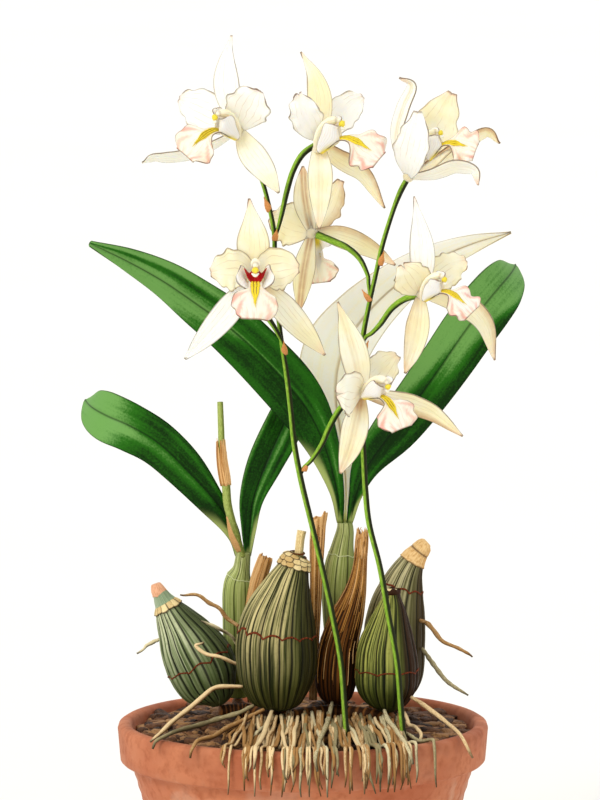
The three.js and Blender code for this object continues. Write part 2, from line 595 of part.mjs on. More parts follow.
flower(7, [3.5, 279.1, 5], [0.2, 0.76, -0.62], [0, 0.6, 0.8], { droop: 0.6 }, [
  [SEPAL_SHAPE, 9.6, [0, 0], [[1.5, 288.7, 6], [0.4, 297.2, 5], [0, 306.1, 3]]],
  [PETAL_SHAPE, 17.7, [0, 0], [[-2.3, 281.8, 8], [-7.7, 283.7, 9], [-13.9, 285.3, 9]]],
  [PETAL_SHAPE, 11.6, [0, 0], [[8.1, 286.4, 8], [11.9, 293.3, 9], [15.4, 300.7, 8]]],
  [SEPAL_SHAPE, 8.9, [0, 0], [[1.2, 268.3, 7], [-0.4, 257.9, 8], [-1.5, 247.1, 8]]],
  [SEPAL_SHAPE, 9.2, [0, 0], [[14.2, 277.9, 6], [26.2, 273.3, 5], [37.7, 266, 2]]],
]);

// Roots, each starting at the bulb, rhizome or bark that carries it
function root(name, stations) {
  const steps = Math.round((stations.length - 1) * 1.5);
  stem(name, stations, COLOURS.root, { sides: 5, steps });
}

root("root_left_1", [
  [-23.9, 115.9, -4.5, 0.8], [-30.4, 121.6, -4, 1], [-36.2, 127, -5, 1], [-43.1, 130.9, -6, 0.8],
  [-50.4, 131.6, -7, 0.4],
]);
root("root_left_2", [
  [-26.2, 110.1, -6, 0.8], [-30, 115.1, -9, 0.8], [-35.8, 118.6, -14, 0.8], [-41.6, 120.9, -16, 0.5],
]);
root("root_left_3", [
  [-27.2, 103.5, -16, 0.8], [-32.7, 105.9, -18, 0.9], [-38.9, 107.4, -18, 0.9],
  [-43.5, 110.9, -17, 0.8], [-40.4, 112.4, -17, 0.5],
]);
root("root_left_4", [
  [-58.9, 112.8, 4, 0.8], [-62.8, 110.9, 3, 0.9], [-67.8, 107, 2, 0.4],
]);
root("root_left_5", [
  [-24.6, 94.3, -20, 0.8], [-34.6, 94.3, -22, 1.2], [-41.2, 90.1, -25, 1.2],
  [-48.1, 84.3, -32, 1.2], [-55.1, 78.5, -42, 1.1],
  [-59.7, 75.4, -48, 0.8], [-61.6, 73.1, -50, 0.5],
]);
root("root_left_6", [
  [-20, 86.6, -19.3, 0.9], [-28.5, 82.8, -20, 1.2], [-37.7, 79.7, -18, 1.2],
  [-46.2, 77.8, -27, 1.2], [-54.3, 76.2, -43, 1],
  [-58.5, 74.3, -51, 0.8], [-60.4, 70.8, -53, 0.5],
]);
root("root_left_7", [
  [-15.8, 85.1, -20.5, 0.9], [-24.3, 80.8, -24, 1.2], [-31.2, 77.8, -34, 1.2],
  [-37, 75.4, -50, 1.1], [-42, 74.3, -60, 1],
  [-44.3, 71.6, -66, 0.8], [-45, 68.1, -67, 0.5],
]);
root("root_middle_1", [
  [-12.7, 84.3, -21, 0.9], [-14.2, 80.4, -30, 1.2], [-15.8, 76.6, -44, 1.2],
  [-17.3, 73.9, -62, 1.1], [-18.5, 72.7, -73, 1],
  [-19.2, 70, -78.5, 0.9], [-20, 63.9, -79, 0.5],
]);
root("root_middle_2", [
  [11.9, 87, -6, 0.9], [10.4, 81.6, -20, 1.2], [8.9, 77.4, -38, 1.2], [6.9, 74.3, -58, 1.1],
  [5.8, 72.4, -73, 1],
  [5, 69.3, -78.8, 0.9], [5.8, 63.1, -79.5, 0.5],
]);
root("root_right_1", [
  [48.1, 120.5, 5.6, 0.8], [51.6, 118.9, 3, 1.1], [55.4, 113.9, 1, 1.1], [60.4, 110.5, -1, 0.9],
  [65.8, 108.5, -2, 0.8], [69.3, 105.5, -2, 0.4],
]);
root("root_right_2", [
  [48.9, 108.9, 6, 0.8], [53.1, 103.5, 2, 1.1], [57, 97.4, -2, 1.1], [62, 93.9, -5, 0.9],
  [67.4, 90.1, -7, 0.4],
]);
root("root_right_3", [
  [43.9, 90.1, -20, 0.8], [50.4, 86.2, -23, 1.1], [56.6, 81.6, -28, 1], [61.6, 77.4, -37, 0.9],
  [65.5, 72.7, -44, 0.8],
  [68.5, 66.6, -46, 0.5],
]);
root("root_right_4", [
  [33.1, 84.7, -20.6, 0.8], [35, 80.4, -30, 1.1], [37.7, 77.4, -44, 1], [40.4, 74.7, -60, 0.9],
  [42.4, 70.8, -66.5, 0.8],
  [43.5, 65.4, -68, 0.5],
]);

export default model;
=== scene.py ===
import math
from functools import partial

import bpy
import numpy as np
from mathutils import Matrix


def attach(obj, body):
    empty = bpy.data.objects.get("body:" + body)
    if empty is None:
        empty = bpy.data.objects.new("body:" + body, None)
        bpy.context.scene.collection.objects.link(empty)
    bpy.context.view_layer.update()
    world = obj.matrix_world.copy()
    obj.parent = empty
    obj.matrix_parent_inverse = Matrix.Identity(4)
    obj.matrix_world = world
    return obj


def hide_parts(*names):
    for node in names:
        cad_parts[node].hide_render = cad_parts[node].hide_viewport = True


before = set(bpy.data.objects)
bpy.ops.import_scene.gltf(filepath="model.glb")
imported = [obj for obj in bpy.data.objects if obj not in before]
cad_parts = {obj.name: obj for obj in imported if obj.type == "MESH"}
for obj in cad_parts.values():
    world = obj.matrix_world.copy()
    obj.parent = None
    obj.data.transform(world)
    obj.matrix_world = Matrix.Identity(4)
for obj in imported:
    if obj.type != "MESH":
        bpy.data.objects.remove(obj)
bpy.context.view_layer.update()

MM = 0.001
TURN = 2 * math.pi
TILT = math.radians(7)

# Camera: the drawing's frame is 231 by 308 mm around this point, seen from 7 degrees above
VIEW_CENTRE = (-1.2, 220.2)
VIEW_HEIGHT = 308.0
VIEW_WIDER = 1.06
VIEW_LOWER = 9.2
VIEW_DISTANCE = 2500.0
SENSOR = 36.0
FLOOR_REACH = 30000

# Pan and bark
PAN_HEIGHT = 80
PAN_RIM_RADIUS = 76
PAN_RIM_DEPTH = 16
PAN_RIM_THICK = 6
PAN_SHOULDER_RADIUS = 72
PAN_BASE_RADIUS = 52
PAN_WALL = 5
PAN_FLOOR = 7
PAN_SIDES = 144
BARK_CROWN = 80
BARK_EDGE = 77
BARK_REACH = 68
BARK_UNDER_CHIPS = 3.2
BARK_BOTTOM = 62
CHIPS = 1050
DRAIN_RADIUS = 5
DRAIN_DISTANCE = 27

# Rhizome and thin roots
RHIZOME_LEVEL = 83.3
THIN_ROOTS = 118
ROOT_RIM_RADIUS = 74.0

# Half widths of sepals and petals from base to tip, as shares of the widest
SEPAL_SHAPE = [0.28, 0.72, 1, 0.92, 0.6, 0.07]
TOP_SHAPE = [0.3, 0.76, 0.98, 1, 0.84, 0.56, 0.26, 0.05]
PETAL_SHAPE = [0.22, 0.72, 1, 0.98, 0.72, 0.2]

# Columns across a petal, and across a leaf or lip, close together at the edges
ACROSS = np.array([-1, -0.97, -0.9, -0.75, -0.6, -0.45, -0.3, -0.15, -0.05,
                   0.05, 0.15, 0.3, 0.45, 0.6, 0.75, 0.9, 0.97, 1])
EDGE_FINE = np.array([0.03, 0.08, 0.15, 0.24, 0.34, 0.45, 0.56, 0.67, 0.78, 0.88, 0.955, 0.985, 1])
ACROSS_FINE = np.concatenate([-np.flip(EDGE_FINE), EDGE_FINE])


def at(station):
    """Point of the drawing in mm: across, up as seen from 7 degrees above, and depth behind the axis."""
    across, up, depth = station[:3]
    return np.array([across, depth, (up - depth * math.sin(TILT)) / math.cos(TILT)])


def path(stations):
    """Points and radii of stations that hold a radius too."""
    return [at(s) for s in stations], [s[3] for s in stations]


def spline(values, t):
    """Smooth values at t (0 to 1) through evenly spaced values."""
    values = np.asarray(values, float)
    line = values.reshape(len(values), -1)
    padded = np.vstack([2 * line[0] - line[1], line, 2 * line[-1] - line[-2]])
    t = np.atleast_1d(np.asarray(t, float))
    place = np.clip(t, 0, 1) * (len(line) - 1)
    i = np.minimum(place.astype(int), len(line) - 2)
    s = (place - i)[:, None]
    before, a, b, after = padded[i], padded[i + 1], padded[i + 2], padded[i + 3]
    s2, s3 = s * s, s * s * s
    out = (2 * s3 - 3 * s2 + 1) * a + (s3 - 2 * s2 + s) * (b - before) / 2
    out += (3 * s2 - 2 * s3) * b + (s3 - s2) * (after - a) / 2
    return out.reshape((len(t),) + values.shape[1:])


def unit(vectors):
    """Vectors cut or stretched to length 1."""
    return vectors / (np.linalg.norm(vectors, axis=-1, keepdims=True) + 1e-12)


def smooth(low, high, value):
    """0 below low, 1 above high, with a soft step between them."""
    s = np.clip((value - low) / (high - low), 0, 1)
    return s * s * (3 - 2 * s)


def peak(value, middle, width):
    """1 at the middle, fading to 0 on both sides."""
    return np.exp(-((value - middle) / width) ** 2)


def stack(*parts):
    """Joins numbers or grids as the parts of a vector at each point."""
    return np.stack(np.broadcast_arrays(*parts), -1)


def waves(seed, count, low, high):
    """A function of one number that wanders between about -1 and 1, as a sum of sine waves."""
    rng = np.random.default_rng(seed)
    rates = rng.uniform(low, high, count)
    starts = rng.uniform(0, TURN, count)
    sizes = rng.uniform(0.5, 1, count)
    sizes = sizes / sizes.sum() * 1.6
    return lambda x: sum(a * np.sin(r * x + s) for a, r, s in zip(sizes, rates, starts))


def trail(points, t):
    """Centres and directions at t along a curve through the points."""
    points = np.asarray(points, float)
    ahead = spline(points, np.minimum(t + 0.01, 1)) - spline(points, np.maximum(t - 0.01, 0))
    return spline(points, t), unit(ahead)


def frames(points, t):
    """Centres, directions and two cross directions that don't twist, at t along a curve."""
    centres, ahead = trail(points, t)
    across = np.zeros_like(centres)
    normal = np.array([0.9, -0.35, 0.1])
    for i, direction in enumerate(ahead):
        normal = normal - normal.dot(direction) * direction
        normal = normal / np.linalg.norm(normal)
        across[i] = normal
    return centres, ahead, across, np.cross(ahead, across)


def spokes(across, other, angle):
    """Directions away from a stem at the angles."""
    return across * np.cos(angle)[..., None] + other * np.sin(angle)[..., None]


def around(points, t, angle, rise):
    """Points beside a curve at one angle, rise mm from it, and the directions of the curve there."""
    centres, ahead, across, other = frames(points, t)
    return centres + spokes(across, other, np.array(angle)) * rise[:, None], ahead


class Body:
    """Points and faces of one piece in mm, with two sets of numbers at each point that its materials read."""

    def __init__(self):
        self.points, self.faces, self.place, self.marks, self.skins = [], [], [], [], []
        self.count = 0

    def add(self, points, faces, place, marks, skin):
        n = len(points)
        self.points.append(points)
        self.place.append(np.broadcast_to(place, (n, 3)))
        self.marks.append(np.broadcast_to(marks, (n, 4)))
        for group in faces:
            self.faces.extend((group + self.count).tolist())
            self.skins.extend([skin] * len(group))
        self.count += n


def weave(rows, columns, wrap=False):
    """Quads of a grid of points."""
    i = np.arange(rows - 1)[:, None]
    j = np.arange(columns if wrap else columns - 1)[None, :]
    k = (j + 1) % columns
    corners = [i * columns + j, i * columns + k, (i + 1) * columns + k, (i + 1) * columns + j]
    return np.stack(corners, -1).reshape(-1, 4)


def shell(body, grid, thick, place=(0, 0, 0), marks=(0, 0, 0, 0), skin=0):
    """Closed sheet of some thickness around a grid of points."""
    rows, columns = grid.shape[:2]
    normal = unit(np.cross(np.gradient(grid, axis=1), np.gradient(grid, axis=0)))
    half = normal * (np.broadcast_to(thick, (rows, columns)) / 2)[..., None]
    quads = weave(rows, columns)
    index = np.arange(rows * columns).reshape(rows, columns)
    ring = np.concatenate([index[0], index[1:, -1], index[-1, -2::-1], index[-2:0:-1, 0]])
    after = np.roll(ring, -1)
    off = rows * columns
    rim = np.stack([ring, ring + off, after + off, after], -1)
    points = np.concatenate([(grid + half).reshape(-1, 3), (grid - half).reshape(-1, 3)])
    place = np.broadcast_to(place, (2, rows, columns, 3)).reshape(-1, 3)
    marks = np.broadcast_to(marks, (2, rows, columns, 4)).reshape(-1, 4)
    body.add(points, [quads, quads[:, ::-1] + off, rim], place, marks, skin)


def rings(body, grid, place, marks, skin=0, hubs=None):
    """Closed round solid from rings of points, with a point in the middle of each end."""
    rows, sides = grid.shape[:2]
    n = rows * sides
    first = np.arange(sides)
    last = first + n - sides
    hub = 0 * first + n
    fans = [np.stack([hub, np.roll(first, -1), first], -1), np.stack([hub + 1, last, np.roll(last, -1)], -1)]
    ends = [grid[0].mean(0), grid[-1].mean(0)] if hubs is None else hubs
    place = np.broadcast_to(place, (rows, sides, 3)).reshape(-1, 3)
    marks = np.broadcast_to(marks, (rows, sides, 4)).reshape(-1, 4)
    body.add(np.vstack([grid.reshape(-1, 3), *ends]), [weave(rows, sides, wrap=True), *fans],
             np.vstack([place, place[0], place[-1]]), np.vstack([marks, marks[0], marks[-1]]), skin)


def tube(body, points, radii, sides, steps, form=None, marks=(0, 0, 0, 0), skin=0):
    """Closed stem through the points. Form changes its reach, and marks may be worked out, by t and angle."""
    t = np.linspace(0, 1, steps + 1)
    centres, _, across, other = frames(points, t)
    tt, aa = np.meshgrid(t, np.arange(sides) / sides * TURN, indexing="ij")
    reach = np.maximum(spline(radii, t), 0.1)[:, None] * (form(tt, aa) if form else 1)
    outward = spokes(across[:, None], other[:, None], aa)
    grid = centres[:, None] + outward * reach[..., None]
    length = np.linalg.norm(np.diff(centres, axis=0), axis=1).sum()
    rings(body, grid, stack(aa, tt * length, 0), marks(tt, aa, outward) if callable(marks) else marks, skin)


def blade(points, left, right, turn=(0, 0), lift=None, steps=28, columns=ACROSS):
    """Grid of a leaf or petal along a midrib, with its half widths. Lift raises it along its normal."""
    t = np.linspace(0, 1, steps + 1)
    centres, ahead = trail(points, t)
    flat = unit(stack(ahead[:, 2], 0, -ahead[:, 0]))
    angle = -np.radians(spline(turn, t))[:, None]
    side = flat * np.cos(angle) + np.cross(ahead, flat) * np.sin(angle)
    side += ahead * (ahead * flat).sum(1, keepdims=True) * (1 - np.cos(angle))
    normal = unit(np.cross(side, ahead))
    low = np.maximum(spline(left, t), 0.12)[:, None]
    high = np.maximum(spline(right, t), 0.12)[:, None]
    tt, u = np.meshgrid(t, columns, indexing="ij")
    offset = np.where(u < 0, u * low, u * high)
    rise = lift(tt, u, offset) if lift else 0.12 * np.abs(offset)
    grid = centres[:, None] + side[:, None] * offset[..., None] + normal[:, None] * rise[..., None]
    return grid, tt, u, offset


def add_mesh(name, points, faces, skins=()):
    """Object of points in mm and their faces."""
    mesh = bpy.data.meshes.new(name)
    mesh.from_pydata((np.asarray(points, float) * MM).tolist(), [], faces)
    for skin in skins:
        mesh.materials.append(skin)
    thing = bpy.data.objects.new(name, mesh)
    bpy.context.scene.collection.objects.link(thing)
    return thing


def make(name, body, skins, nodes):
    """Blender object of a body, riding on the frame and standing for its CAD nodes."""
    piece = add_mesh(name, np.concatenate(body.points), body.faces, skins)
    mesh = piece.data
    mesh.polygons.foreach_set("material_index", body.skins)
    mesh.polygons.foreach_set("use_smooth", [True] * len(body.faces))
    place = mesh.attributes.new("place", "FLOAT_VECTOR", "POINT")
    place.data.foreach_set("vector", np.concatenate(body.place).astype(np.float32).ravel())
    marks = mesh.attributes.new("marks", "FLOAT_COLOR", "POINT")
    marks.data.foreach_set("color", np.concatenate(body.marks).astype(np.float32).ravel())
    mesh.validate()
    mesh.update()
    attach(piece, "root")
    if nodes:
        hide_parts(*nodes)
    return piece


def colour(code):
    """Linear colour of a hexadecimal code."""
    parts = [int(code[i:i + 2], 16) / 255 for i in (1, 3, 5)]
    return tuple(c / 12.92 if c < 0.04045 else ((c + 0.055) / 1.055) ** 2.4 for c in parts) + (1,)


class Finish:
    """Material with short calls for the nodes that the materials share."""

    def __init__(self, name, **sockets):
        self.material = bpy.data.materials.new(name)
        self.material.use_nodes = True
        self.tree = self.material.node_tree
        self.shader = self.tree.nodes["Principled BSDF"]
        for socket, value in sockets.items():
            self.shader.inputs[socket.replace("_", " ")].default_value = value
        place = self.put("ShaderNodeAttribute", attribute_name="place")
        marks = self.put("ShaderNodeAttribute", attribute_name="marks")
        self.x, self.y, self.z = self.put("ShaderNodeSeparateXYZ", {0: place.outputs[1]}).outputs
        self.r, self.g, self.b = self.put("ShaderNodeSeparateColor", {0: marks.outputs[0]}).outputs
        self.a = marks.outputs[3]
        self.where = self.put("ShaderNodeTexCoord").outputs["Object"]

    def put(self, kind, inputs=(), **settings):
        node = self.tree.nodes.new(kind)
        for key, value in settings.items():
            setattr(node, key, value)
        for key, value in dict(inputs).items():
            self.feed(node.inputs[key], value)
        return node

    def feed(self, socket, value):
        if isinstance(value, bpy.types.NodeSocket):
            self.tree.links.new(value, socket)
        else:
            socket.default_value = value

    def math(self, operation, a, b=0.5):
        return self.put("ShaderNodeMath", {0: a, 1: b}, operation=operation).outputs[0]

    def times(self, a, b):
        return self.math("MULTIPLY", a, b)

    def plus(self, a, b):
        return self.math("ADD", a, b)

    def swing(self, value, size):
        """Value that swings round 0, from one between 0 and 1."""
        return self.times(self.math("SUBTRACT", value), size)

    def vector(self, x, y, z):
        return self.put("ShaderNodeCombineXYZ", {0: x, 1: y, 2: z}).outputs[0]

    def along(self, across, lengthways):
        """Place stretched so that a noise runs along a piece."""
        return self.vector(self.times(self.x, across), self.times(self.y, lengthways), self.z)

    def noise(self, scale, detail=3.0, where=None):
        inputs = {"Vector": where or self.where, "Scale": scale, "Detail": detail, "Roughness": 0.55}
        return self.put("ShaderNodeTexNoise", inputs).outputs[0]

    def span(self, value, low, high, to_low=0.0, to_high=1.0):
        inputs = {"Value": value, "From Min": low, "From Max": high, "To Min": to_low, "To Max": to_high}
        return self.put("ShaderNodeMapRange", inputs, interpolation_type="SMOOTHSTEP").outputs[0]

    def mix(self, factor, a, b):
        node = self.put("ShaderNodeMix", data_type="RGBA", clamp_factor=True)
        for socket, value in ((0, factor), (6, a), (7, b)):
            self.feed(node.inputs[socket], colour(value) if isinstance(value, str) else value)
        return node.outputs[2]

    def bump(self, height, strength=0.4, distance=0.0004):
        inputs = {"Height": height, "Strength": strength, "Distance": distance}
        self.feed(self.shader.inputs["Normal"], self.put("ShaderNodeBump", inputs).outputs[0])

    def finish(self, base, roughness=None):
        self.feed(self.shader.inputs["Base Color"], base)
        if roughness is not None:
            self.feed(self.shader.inputs["Roughness"], roughness)
        return self.material


def clay_finish():
    """Clay with a pale bloom low on the pan and damp near the rim."""
    f = Finish("terracotta", Roughness=0.85)
    fine = f.noise(260, 5)
    base = f.mix(f.span(f.noise(28, 4), 0.3, 0.7), "#B4623C", "#C67A52")
    base = f.mix(f.span(fine, 0.45, 0.75, 0, 0.55), base, "#9C5130")
    height = f.put("ShaderNodeSeparateXYZ", {0: f.where}).outputs[2]
    bloom = f.times(f.span(f.noise(60, 6), 0.5, 0.66), f.span(height, 0.075, 0.035, 0.05, 0.55))
    base = f.mix(bloom, base, "#D9B9A0")
    damp = f.times(f.span(f.noise(40, 4), 0.42, 0.6), f.span(height, 0.06, 0.079, 0, 0.5))
    base = f.mix(damp, base, "#8A4526")
    f.bump(f.noise(900, 4), 0.35, 0.0003)
    return f.finish(base, f.span(fine, 0.3, 0.8, 0.75, 0.95))


def bark_finish():
    f = Finish("bark", Roughness=0.9)
    streak = f.noise(1, 5, f.along(0.35, 1.6))
    tone = f.plus(f.r, f.swing(streak, 0.9))
    base = f.mix(f.span(tone, 0.0, 0.55), "#2B1A10", "#6B4427")
    base = f.mix(f.span(tone, 0.5, 1.05), base, "#A87B4C")
    base = f.mix(f.span(f.noise(700, 3), 0.62, 0.75, 0, 0.5), base, "#1E120A")
    f.bump(streak, 0.9, 0.0008)
    return f.finish(base)


def bulb_finish(name, deep, body, light, groove, brown, roughness=0.5):
    """Marks: groove, painted brown shade on the right side, painted shade at the foot and on the right side,
    and how much the light streaks show as painted highlight.
    """
    f = Finish(name, Roughness=roughness, Specular_IOR_Level=0.12)
    streak = f.noise(1.0, 5, f.along(11.0, 0.028))
    thin = f.noise(1.0, 4, f.vector(f.times(f.x, 34.0), f.times(f.y, 0.05), 7.0))
    fleck = f.noise(520, 4)
    base = f.mix(f.span(streak, 0.32, 0.62), deep, body)
    shine = f.span(f.plus(f.times(streak, 0.6), f.times(thin, 0.4)), 0.42, 0.6)
    # Painted highlight: light streaks where marks a say the light falls.
    base = f.mix(f.times(shine, f.a), base, light)
    base = f.mix(f.span(thin, 0.5, 0.75, 0, 0.4), base, deep)
    base = f.mix(f.span(fleck, 0.5, 0.8, 0, 0.3), base, deep)
    # Painted shade at the foot and on the right side.
    base = f.mix(f.times(f.b, 0.85), base, deep)
    # Painted shade in brown on the right side.
    base = f.mix(f.g, base, brown)
    # Painted shade: the grooves turn near black.
    base = f.mix(f.times(f.span(f.r, 0.35, 0.9), 0.92), base, groove)
    f.bump(f.plus(thin, f.times(fleck, 0.25)))
    return f.finish(base, f.span(streak, 0.3, 0.7, roughness + 0.08, roughness - 0.06))


def leaf_finish(name, dark, middle, light, pale, edge, glow=0.0):
    """Marks: light band, pale green base, dark edge, and a darker line."""
    f = Finish(name, Roughness=0.5, Specular_IOR_Level=0.09, Subsurface_Weight=glow, Subsurface_Scale=0.003,
               Subsurface_Radius=(1.0, 0.85, 0.6))
    grain = f.noise(1.0, 4, f.vector(f.times(f.z, 0.9), f.times(f.y, 0.02), f.x))
    blotch = f.noise(48, 4)
    tone = f.plus(f.plus(f.r, f.swing(blotch, 0.55)), f.swing(grain, 0.5))
    tone = f.plus(tone, f.swing(f.noise(1300, 2), 0.5))
    base = f.mix(f.span(tone, 0.0, 0.5), dark, middle)
    base = f.mix(f.span(tone, 0.45, 1.0), base, light)
    base = f.mix(f.g, base, pale)
    base = f.mix(f.times(f.a, 0.9), base, edge)
    base = f.mix(f.times(f.b, 0.75), base, edge)
    f.bump(f.plus(grain, f.times(f.noise(700, 2), 0.3)), 0.22, 0.0003)
    return f.finish(base, f.span(blotch, 0.3, 0.7, 0.42, 0.54))


def petal_finish(name, cream, white, tan, pink, line, lines):
    """Marks: tan shading, pink, edge line, and white share. Place: across (-1 to 1), along, and yellow."""
    f = Finish(name, Roughness=0.6, Specular_IOR_Level=0.15, Sheen_Weight=0.1, Subsurface_Weight=0.5,
               Subsurface_Scale=0.003, Subsurface_Radius=(1.0, 0.75, 0.5))
    wave = f.math("SINE", f.times(f.plus(f.x, f.swing(f.noise(90, 3), 0.35)), lines), 0)
    vein = f.times(f.span(wave, 0.86, 0.99), f.span(f.y, 0.03, 0.3))
    vein = f.times(vein, f.span(f.noise(150, 2), 0.38, 0.6))
    blotch = f.noise(70, 4)
    base = f.mix(f.span(blotch, 0.35, 0.7, 0, 0.5), cream, white)
    base = f.mix(f.a, base, white)
    base = f.mix(f.times(vein, 0.34), base, tan)
    base = f.mix(f.times(f.r, f.span(f.noise(260, 4), 0.2, 0.6, 0.6, 1.0)), base, tan)
    base = f.mix(f.times(f.g, f.span(blotch, 0.3, 0.65, 0.6, 1.0)), base, pink)
    base = f.mix(f.z, base, "#F0CF3A")
    base = f.mix(f.times(f.b, 0.85), base, line)
    f.bump(f.plus(wave, f.noise(600, 3)), 0.12, 0.0002)
    return f.finish(base)


def simple_finish(name, dark, light, roughness, scale, stretch=1.0, deep=None):
    """Two colours mixed by streaks along a piece. Marks: first a shift toward dark, then a third colour."""
    f = Finish(name, Roughness=roughness, Specular_IOR_Level=0.15)
    streak = f.noise(1.0, 5, f.along(scale, scale * 0.1 / stretch))
    tone = f.math("SUBTRACT", f.plus(streak, f.times(f.noise(500, 3), 0.15)), f.times(f.r, 0.6))
    base = f.mix(f.span(tone, 0.35, 0.68), dark, light)
    base = f.mix(f.g, base, deep or dark)
    f.bump(streak, 0.3)
    return f.finish(base, f.span(streak, 0.3, 0.7, roughness - 0.06, roughness + 0.06))


def floor_finish():
    f = Finish("floor", Roughness=0.9)
    return f.finish(f.mix(f.noise(3, 2), "#F2F1EC", "#F5F4F0"))


CLAY = clay_finish()
BARK = bark_finish()
# Bulb colours: deep, body, light for the streaks painted as highlight on the lit side, groove for the painted
# shade in the grooves, and brown for the painted shade on the right side.
BULB = bulb_finish("bulb_green", "#1C2207", "#64682A", "#DCCB90", "#0A0C03", "#33190A")
BULB_DARK = bulb_finish("bulb_dark", "#1F2608", "#566224", "#B6B65C", "#0A0D03", "#32170A")
BULB_BACK = bulb_finish("bulb_grey", "#46421F", "#8A8658", "#CCC294", "#17150A", "#38260F")
BULB_PALE = bulb_finish("bulb_pale", "#47562C", "#98A874", "#E2E4BC", "#141A0C", "#3A3D22")
NECK = bulb_finish("bulb_neck", "#75896A", "#9AAC88", "#C8D2B4", "#3C4A34", "#869474")
SHOOT = bulb_finish("shoot_green", "#7A8840", "#A9B364", "#E0E2A8", "#3A4218", "#8A7A48")
RING = simple_finish("scale_scar", "#1C0A04", "#7A3414", 0.6, 6)
SCALE = simple_finish("dry_scale", "#C09A5A", "#F2DCA4", 0.65, 10, deep="#2E1C0A")
CAP = simple_finish("cap_tan", "#CE9A54", "#F2CC90", 0.6, 6, deep="#5A3414")
PINK_CAP = simple_finish("cap_pink", "#CC8E62", "#EDB48E", 0.6, 6, deep="#6E4024")
SHEATH = simple_finish("dry_sheath", "#331A06", "#6E3E14", 0.62, 14, 0.6, deep="#B98244")
STRAW = simple_finish("dry_straw", "#B27A3C", "#E6B87C", 0.6, 9, 0.4, deep="#6A4018")
FIBRE = simple_finish("dry_fibre", "#5A300E", "#D09448", 0.6, 8, 0.5, deep="#EBC488")
LEAF = leaf_finish("leaf_green", "#0B2C03", "#24660F", "#6C9F50", "#A6B468", "#061A04")
LEAF_PALE = leaf_finish("leaf_pale", "#FAE6BA", "#FFF4D6", "#FFFAEC", "#B6C284", "#8A7450", 0.65)
TEPAL = petal_finish("petal_cream", "#F9EAC2", "#FFFDF2", "#BE9C78", "#F4B4A2", "#4E3828", 19.0)
LIP = petal_finish("lip_blush", "#FAEACA", "#FFFAF2", "#C4A27E", "#F08A84", "#4E3828", 26.0)
THROAT = simple_finish("throat_red", "#6E040A", "#C40F18", 0.5, 9)
KEEL = simple_finish("keel_yellow", "#D6AE1E", "#F8E23C", 0.45, 9, deep="#4A2A0C")
ANTHER = simple_finish("anther_yellow", "#D6B422", "#F8E64E", 0.45, 5)
# Deep olive brown is the painted shade on the right side of scapes and stalks.
STALK = simple_finish("scape_green", "#6A9A22", "#A8CC46", 0.5, 5, deep="#1E2406")
BRACT = simple_finish("bract_brown", "#A8561A", "#E2A060", 0.6, 8, deep="#4A220C")
# Deep brown serves the root tips and the painted shade on the roots' right sides and undersides.
ROOT = simple_finish("root_tan", "#A87C48", "#EED2A0", 0.75, 6, deep="#33200C")
ROOT_GREY = simple_finish("root_grey", "#948760", "#E0D2A8", 0.75, 6, deep="#2A2010")
SHOOT_EDGE = simple_finish("shoot_edge", "#A9B476", "#D4DAA6", 0.5, 6, deep="#4C5826")
STUB = simple_finish("stub_wood", "#4A2A12", "#B98450", 0.65, 10, 0.6, deep="#3A200C")
STALK_OLD = simple_finish("spike_green", "#7E8E3A", "#AEBB66", 0.5, 6, deep="#4A4A18")
SHEATH_BULB = bulb_finish("sheath_brown", "#2C1503", "#6A3A10", "#C07E36", "#1A0C02", "#2E1607", 0.6)
COLUMN = petal_finish("column_cream", "#F6E6B8", "#FFFAE8", "#C4A468", "#F1B9A6", "#5E4430", 6.0)


# Camera, made first: the photograph's viewing angle
def make_camera():
    lens = bpy.data.cameras.new("camera")
    camera = bpy.data.objects.new("camera", lens)
    bpy.context.scene.collection.objects.link(camera)
    target = at((VIEW_CENTRE[0], VIEW_CENTRE[1] - VIEW_LOWER, 0))
    back = np.array([0, -math.cos(TILT), math.sin(TILT)])
    camera.location = (target + back * VIEW_DISTANCE) * MM
    camera.rotation_euler = (math.pi / 2 - TILT, 0, 0)
    lens.sensor_width = SENSOR
    lens.lens = SENSOR * VIEW_DISTANCE / (VIEW_HEIGHT * VIEW_WIDER)
    lens.clip_start = 0.05
    lens.clip_end = 50
    bpy.context.scene.camera = camera


def make_sun(name, where, power, spread, tint):
    lamp = bpy.data.lights.new(name, "SUN")
    lamp.energy = power
    lamp.angle = spread
    lamp.color = tint
    light = bpy.data.objects.new(name, lamp)
    light.location = where
    x, y, z = where
    light.rotation_euler = (math.atan2(math.hypot(x, y), z), 0, math.atan2(x, -y))
    bpy.context.scene.collection.objects.link(light)


def make_studio():
    bpy.context.scene.view_settings.view_transform = "Standard"
    world = bpy.data.worlds.new("studio")
    world.use_nodes = True
    background = world.node_tree.nodes["Background"]
    background.inputs[0].default_value = (1.0, 0.995, 0.98, 1)
    background.inputs[1].default_value = 0.9
    bpy.context.scene.world = world
    make_sun("key", (-0.62, -0.8, 0.78), 1.15, 0.35, (1, 0.99, 0.97))
    make_sun("back", (0.5, 0.8, 0.7), 0.35, 0.6, (0.96, 0.98, 1))
    corners = [(FLOOR_REACH * x, FLOOR_REACH * y, 0) for x, y in ((-1, -1), (1, -1), (1, 1), (-1, 1))]
    add_mesh("floor", corners, [(0, 1, 2, 3)], [floor_finish()])


make_camera()
make_studio()


